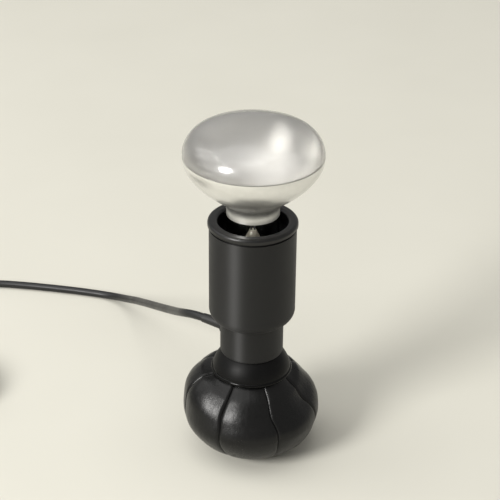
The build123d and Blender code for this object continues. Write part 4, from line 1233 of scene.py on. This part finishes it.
    def half(self, name: str, line: list[Spot]) -> Object:
        """Model the gores over one part of the outer line.

        Args:
            name: Name of the piece.
            line: Radius and height along the leather, in millimetres.

        Returns:
            The piece.
        """
        piece = Bench.spin(name, line, self.gores * self.columns)
        low, high = self.line()
        whole = [*low, *high[1:]]
        beside = dict(zip(whole, zip(whole[:1] + whole, whole[1:] + whole[-1:])))
        normals = {}
        for vertex in piece.data.vertices:
            turn, radius, height = self.read(vertex.co)
            turn = round(turn * self.columns) / self.columns
            vertex.co = self.place(turn, radius, height)
            back, ahead = beside[min(line, key=lambda spot: abs(spot[0] - radius) + abs(spot[1] - height))]
            along = self.place(turn, *ahead) - self.place(turn, *back)
            sides = [self.place(turn + side, radius, height) for side in (-self.probe, self.probe)]
            normals[vertex.index] = (sides[1] - sides[0]).cross(along).normalized()
        faces = len(piece.data.polygons)
        Bench.wall(piece, self.leather * MM)
        mesh = piece.data
        mesh.update()
        shading = [(0.0, 0.0, 0.0)] * len(mesh.loops)
        for face in list(mesh.polygons)[:faces]:
            for loop in face.loop_indices:
                shading[loop] = normals.get(mesh.loops[loop].vertex_index, Vector())[:]
        mesh.normals_split_custom_set(shading)
        return piece

    def heap(self, name: str, line: list[Spot]) -> Object:
        """Pour the shot that fills one part of the bag, inside the leather.

        Args:
            name: Name of the piece.
            line: Radius and height along the leather, in millimetres.

        Returns:
            The piece.
        """
        inner = []
        for (r0, h0), (r1, h1), (r2, h2) in zip(line, line[1:], line[2:]):
            run, rise = r2 - r0, h2 - h0
            reach = self.packing / math.hypot(run, rise)
            spot = (r1 - rise * reach, h1 + run * reach)
            if self.shot_floor < spot[1] < self.shot_top:
                inner.append(spot)
        inner = [(0.0, inner[0][1]), *inner, (0.0, inner[-1][1])]
        piece = Bench.spin(name, inner, self.gores * self.columns)
        for vertex in piece.data.vertices:
            vertex.co = self.place(*self.read(vertex.co))
        return piece

    def build(self) -> None:
        """Model both halves of the gores, which meet at the widest line, and the shot in them."""
        gores = [f"leather_gore_{k + 1}" for k in range(self.gores)]
        middle = self.above[0][1]
        bends = ((Body.BAG, Body.FILLING, self.sole, middle), (Body.FILLING, Body.HEAD, middle, self.collar))
        for shape, slot, nodes, fill, names in (
                (self.half, Slot.LEATHER, gores, 0.95, ("leather_lower", "leather_upper")),
                (self.heap, Slot.SHOT, ["shot_filling"], 1.0, ("shot_lower", "shot_upper"))):
            for name, line, (first, second, still, moving) in zip(names, self.line(), bends):
                piece = shape(name, line)
                Bench.finish(piece, Paint.of(slot))
                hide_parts(*nodes)
                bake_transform(piece)
                LOG.info("%s modelled", name)


# ---- bulb ----


@dataclass
class Bulb:
    """The reflector bulb's glass: clear neck, silvered bowl and frosted dome, in millimetres.

    Rows are the points that the shoulder, the sweep, the bowl, the rim and the crown get.
    """

    wall: float = 1.0
    foot: Spot = (11.7, 110.0)
    cap_top: float = 124.5
    shoulder_pull: Spot = (2.9, 4.0)
    neck: float = 15.2
    neck_start: float = 133.0
    neck_rings: Spot = (143.0, 150.0)
    neck_end: float = 158.0
    sweep_end: Spot = (20.0, 166.3)
    sweep_pull: Spot = (3.8, 3.5)
    slope: float = 34.0
    bowl_pull: Spot = (14.0, 9.0)
    widest: Spot = (40.0, 191.8)
    dome: float = 20.6
    rim_arc: float = 15.0
    silver_from: float = 155.4
    frost_margin: float = 0.3
    rows: tuple[int, ...] = (9, 12, 28, 16, 20)
    steps: int = 128

    def outline(self) -> list[Spot]:
        """Outer line of the glass from its foot to the top of the dome.

        Returns:
            Radius and height of each point, in millimetres.
        """
        lean = math.radians(self.slope)
        along = Vector((math.cos(lean), math.sin(lean)))
        joint, rim, up = Vector(self.sweep_end), Vector(self.widest), Vector((0.0, 1.0))
        cap, low, high = (Vector(spot) for spot in (
            (self.foot[0], self.cap_top), (self.neck, self.neck_start), (self.neck, self.neck_end)))
        shoulder, sweep, bowl, *_ = self.rows
        line = [self.foot, tuple(cap)]
        rings = [(self.neck, height) for height in (*self.neck_rings, self.silver_from, self.neck_end)]
        for start, out, (near, far), back, end, rows, then in (
                (cap, up, self.shoulder_pull, up, low, shoulder, rings),
                (high, up, self.sweep_pull, along, joint, sweep, []),
                (joint, along, self.bowl_pull, up, rim, bowl, [])):
            line += bezier((start, start + out * near, end - back * far, end), rows)[1:] + then
        return line + self.crown()

    def crown(self) -> list[Spot]:
        """Rim arc and crown arc of the dome, from the widest line to the top.

        Returns:
            Radius and height of each point, in millimetres.
        """
        reach = self.widest[0] - self.rim_arc
        large = (reach ** 2 + self.dome ** 2 - self.rim_arc ** 2) / (2.0 * (self.dome - self.rim_arc))
        middle = self.widest[1] + self.dome - large
        meet = math.atan2(self.widest[1] - middle, reach)
        *_, rim_rows, top_rows = self.rows
        rim = [(reach + self.rim_arc * math.cos(a), self.widest[1] + self.rim_arc * math.sin(a))
               for a in (meet * k / rim_rows for k in range(1, rim_rows + 1))]
        top = [(large * math.cos(a), middle + large * math.sin(a))
               for a in (meet + (math.pi / 2 - meet) * k / top_rows for k in range(1, top_rows))]
        return rim + top + [(0.0, self.widest[1] + self.dome)]

    def build(self) -> None:
        """Blow the glass and dress its three zones."""
        glass = Bench.spin("bulb_envelope", self.outline(), self.steps)
        Bench.wall(glass, self.wall * MM)
        Bench.finish(glass, Paint.of(FROSTED), Paint.of(SILVERED), Paint.of(Slot.GLASS))
        for face in glass.data.polygons:
            borders = (self.widest[1] - self.frost_margin, self.silver_from)
            face.material_index = sum(face.center.z / MM <= border for border in borders)
        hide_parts("bulb_glass")
        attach(glass, Body.BULB.value)
        LOG.info("bulb glass blown, %d faces", len(glass.data.polygons))


# ---- the lamp ----


@dataclass
class Hardware:
    """Turned, pressed and moulded pieces that keep the shape they came with."""

    nodes: dict[str, Object]
    # The glass stem takes the stem glass whose pale beige colour is a painted glint.
    special: dict[str, Finish] = field(
        default_factory=lambda: {"bag_collar": RUBBED_COLLAR, "glass_stem": STEM_GLASS_PAINTED_GLINT})

    def build(self) -> None:
        """Give each piece its own finish, or that of its material slot."""
        for name, node in sorted(self.nodes.items()):
            if node.hide_render or not node.material_slots:
                continue
            slot = Slot(node.material_slots[0].material.name.split(".")[0])
            finish = self.special.get(name, FINISHES[slot])
            node.material_slots[0].material = Paint.of(finish)
            LOG.info("%s finished in %s", name, finish.name)


def main() -> None:
    """Build the lamp's looks on its frame."""
    logging.basicConfig(level=logging.INFO, format="%(message)s")
    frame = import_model()
    studio = Studio()
    studio.camera()
    Cord().build()
    studio.build()
    LeatherBag().build()
    Bulb().build()
    Hardware(frame["nodes"]).build()
    bpy.context.view_layer.update()


if __name__ == "__main__":
    main()
